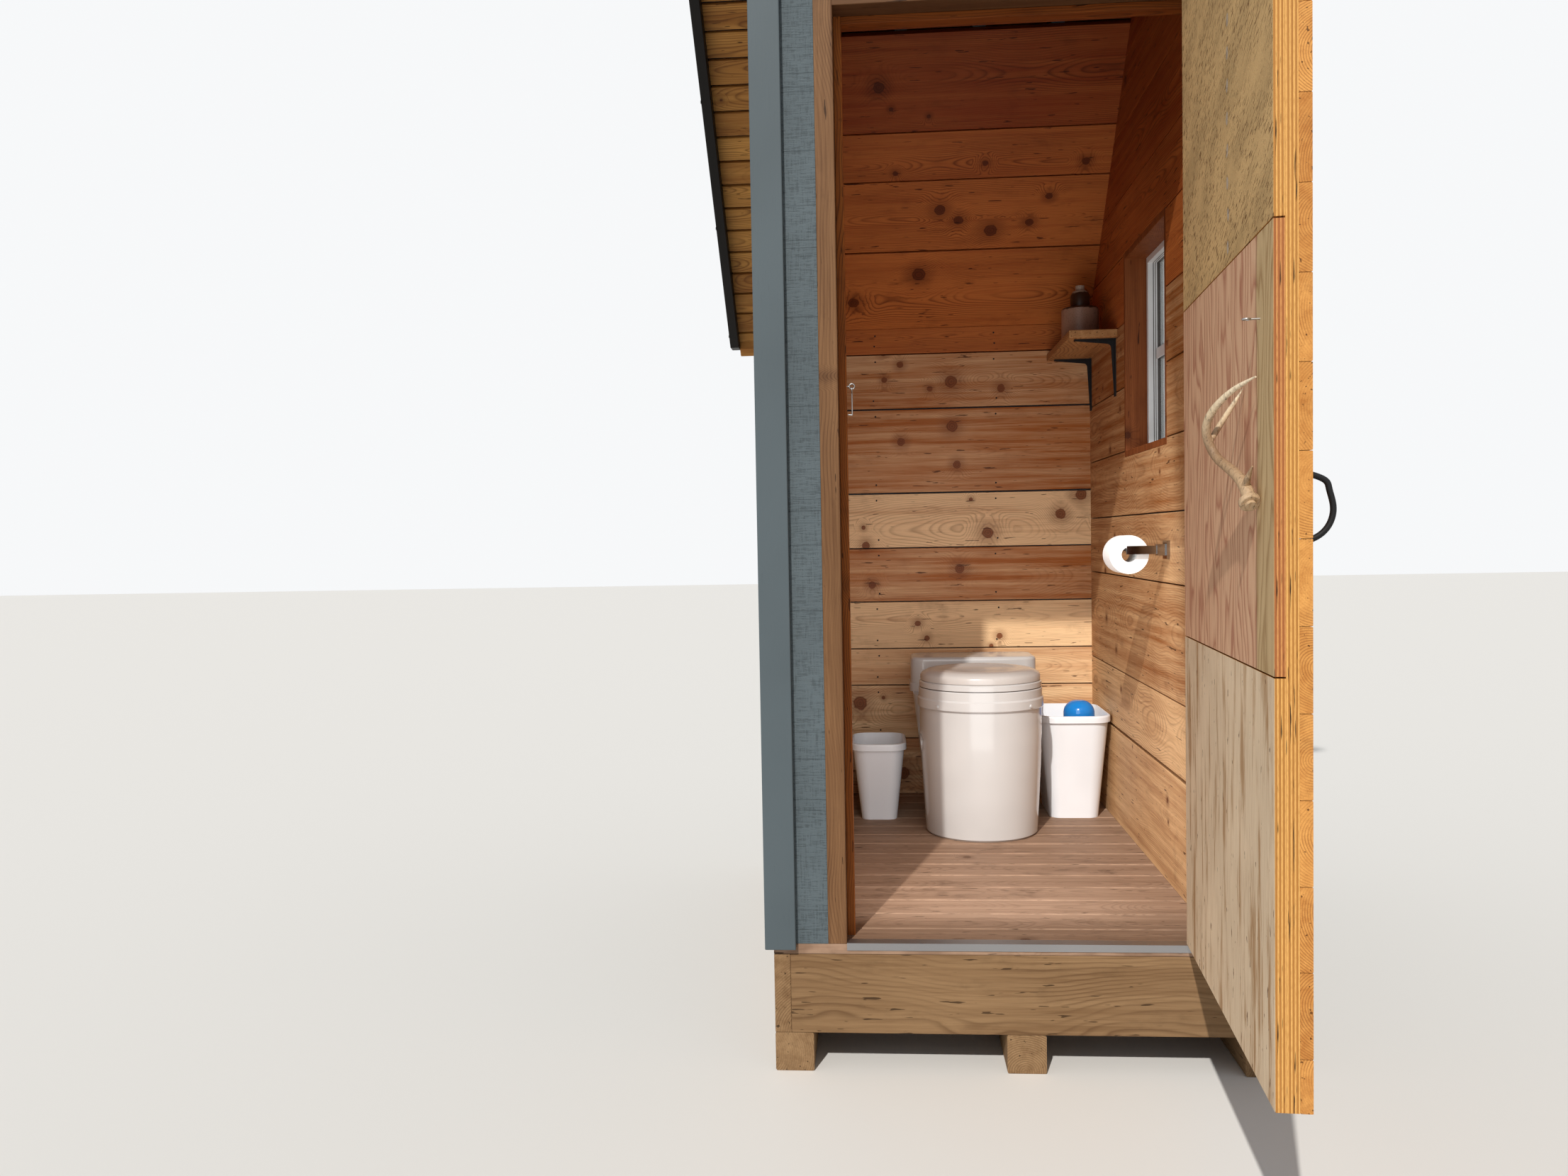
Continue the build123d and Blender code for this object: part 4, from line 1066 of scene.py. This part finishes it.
def soften(node, name, material, sharp=32, flat=False, bevel=0.0, along=None, tone=0.5, lowest=None):
    """sharp is in degrees, grain runs along the axis, what lies below lowest is sawn off."""
    source = nodes[node]
    body = body_of(source)[0]
    made = bmesh.new()
    made.from_mesh(source.data)
    bmesh.ops.transform(made, matrix=source.matrix_world, verts=made.verts)
    bmesh.ops.remove_doubles(made, verts=made.verts, dist=2 * SAME_PLACE)
    if lowest:
        saw_off(made, (0, 0, lowest), (0, 0, -1))
        bmesh.ops.holes_fill(made, edges=[e for e in made.edges if len(e.link_faces) == 1])
    if flat:
        bmesh.ops.dissolve_limit(made, angle_limit=math.radians(1.0), verts=made.verts, edges=made.edges)
    limit = math.radians(sharp)
    if bevel:
        hard = [e for e in made.edges if len(e.link_faces) == 2 and e.calc_face_angle() > limit]
        round_edges(made, hard, bevel, clamp=True)
    for face in made.faces:
        face.smooth = not flat
    for edge in made.edges:
        edge.smooth = len(edge.link_faces) == 2 and edge.calc_face_angle() < limit
    mesh = to_mesh(name, made, material)
    if along:
        run, wide, deep = AXES[along]
        places = [(v.co[run], v.co[wide] + GRAIN_OFFSET, v.co[deep]) for v in mesh.vertices]
        note_grain(mesh, places, [tone] * len(places))
    return settle(name, mesh, body, (node,))


# %% Fixtures and fittings
FITTINGS = (
    ("toilet_body", "toilet_base", gloss_white), ("toilet_seat", "toilet_ring", seat_white),
    ("toilet_lid", "toilet_cover", lid_white), ("waste_bins", "bins", bin_white),
    ("blue_bottle", "bottle", blue_gloss), ("soap_jar", "jar", clay),
    ("antler_handle", "antler", bone, 50), ("paper_roll", "roll", tissue),
    ("paper_holder", "roll_holder", chrome), ("shelf_brackets", "brackets", iron),
    ("screw_eye", "eye_in_door", zinc), ("hook_eye", "eye_in_jamb", zinc),
    ("latch_hook", "hook", zinc), ("outer_pull", "pull", iron),
    ("frame_hinges", "hinge_leaves_on_jamb", zinc), ("door_hinges", "hinge_leaves_on_door", zinc),
)
for fitting in FITTINGS:
    soften(*fitting)

# %% Boards and frames that keep their CAD outline
WIDE_BEVEL = {"flat": True, "bevel": 0.002}
FINE_BEVEL = {"flat": True, "bevel": 0.0015}
RAKE_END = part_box("cross_fascias")[0].z + 0.024
soften("painted_trims", "corner_boards", smooth_paint, **WIDE_BEVEL)
soften("rake_fascias", "rake_boards", black_paint, lowest=RAKE_END, **WIDE_BEVEL)
soften("cross_fascias", "eave_boards", soffit_wood, along="X", tone=0.6, **WIDE_BEVEL)
soften("rim_boards", "rim", raw_wood, along="Y", tone=0.7, **WIDE_BEVEL)
soften("floor_joists", "joists", raw_wood, along="X", tone=0.7, **WIDE_BEVEL)
soften("shelf", "shelf_board", shelf_wood, along="Y", tone=0.4, **WIDE_BEVEL)
soften("window_reveal", "window_boards", reveal_wood, along="Z", **FINE_BEVEL)
soften("window_frame", "window_sash", vinyl, **FINE_BEVEL)

# %% Dress the nodes that keep their CAD shape
SIDING = ("front_wall_sides", "front_wall_over_door", "left_wall", "right_wall", "back_wall", "rafters")
KEPT = {"threshold_strip": strip_metal, "roof_sheet": roof_paint, "window_glass": glass}
KEPT.update({name: rough_paint for name in SIDING})
for name, material in KEPT.items():
    thing = nodes[name]
    thing.data.materials.clear()
    thing.data.materials.append(material)
print("kept nodes:", len(KEPT))

# %% [markdown]
# ## Nails, screws and small round things
# Nail heads sit in two columns on the back wall, where the studs are behind it. Dots in a
# material would catch no light, so they are low discs from a cone operator, joined in one
# mesh. The rake boards are held by bright screws, and two knobs sit on the toilet's band.

# %% Low discs
def discs(name, body, material, places, facing, radius, height):
    """places are centres on a surface, facing is the direction out of it."""
    made = bmesh.new()
    turn = Vector(facing).to_track_quat("Z", "Y").to_matrix().to_4x4()
    lift = Vector(facing).normalized() * height / 2
    for place in places:
        spot = Matrix.Translation(Vector(place) + lift) @ turn
        bmesh.ops.create_cone(made, cap_ends=True, segments=10, radius1=radius, radius2=radius * 0.75,
                              depth=height, matrix=spot)
    return settle(name, to_mesh(name, made, material), body)


# %% Nail the back wall
NAIL_COLUMNS = (-0.324, 0.104)
NAIL_INSET = 0.028
NAIL_STRAY = 0.006
nail_places = []
for low, high in zip(BACK_SEAMS, BACK_SEAMS[1:]):
    for x in NAIL_COLUMNS:
        for height in (low + NAIL_INSET, high - NAIL_INSET):
            nail_places.append((x + rng.uniform(-NAIL_STRAY, NAIL_STRAY), IN_Y, FLOOR + height))
discs("back_wall_nails", "outhouse", iron, nail_places, (0, -1, 0), 0.0032, 0.0008)

# %% Knobs on the toilet's band
SIDES = ((-1, "left"), (1, "right"))
BAND_MIDDLE = Vector((-0.007, 0.206, FLOOR + 0.411))
BAND_RADIUS = 0.1965
KNOB_SINK = 0.001
KNOB_ANGLE = math.radians(46)
for side, label in SIDES:
    out = Vector((side * math.sin(KNOB_ANGLE), -math.cos(KNOB_ANGLE), 0))
    spots = [BAND_MIDDLE + out * (BAND_RADIUS - KNOB_SINK)]
    discs("band_knob_" + label, "outhouse", gloss_white, spots, out, 0.006, 0.005)

# %% Screws along the rake boards
SCREWS = 6
SCREW_INSET = 0.10
SCREW_PITCH = 0.45 * math.sqrt(0.5)
rake_low, rake_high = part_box("rake_fascias")
steps = [SCREW_INSET + number * SCREW_PITCH for number in range(SCREWS)]
for side, label in SIDES:
    spots = [(side * rake_high.x, rake_high.y - step, rake_low.z + step) for step in steps]
    discs("rake_screws_" + label, "outhouse", zinc, spots, (side, 0, 0), 0.006, 0.0015)

# %% [markdown]
# ## The stage
# A wide pale floor just below the skids catches the shadow. It isn't part of the object.
# A backdrop bent up behind the building would hide the horizon, but also the building
# from behind. So the floor is one flat face from a grid operator.

# %% Lay the studio floor
STAGE_MIDDLE = (0, 0, -0.0005)
patch = bmesh.new()
bmesh.ops.create_grid(patch, x_segments=1, y_segments=1, size=30, matrix=Matrix.Translation(STAGE_MIDDLE))
pale = Recipe("pale_floor").finish((0.78, 0.77, 0.75, 1), 0.9)
studio_floor = bpy.data.objects.new("studio_floor", to_mesh("studio_floor", patch, pale))
scene.collection.objects.link(studio_floor)
studio_floor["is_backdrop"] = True
print("studio floor:", len(studio_floor.data.polygons), "face")

# %% Print the visual box
low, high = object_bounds()
print("visual box", [round(v, 3) for v in low], [round(v, 3) for v in high])
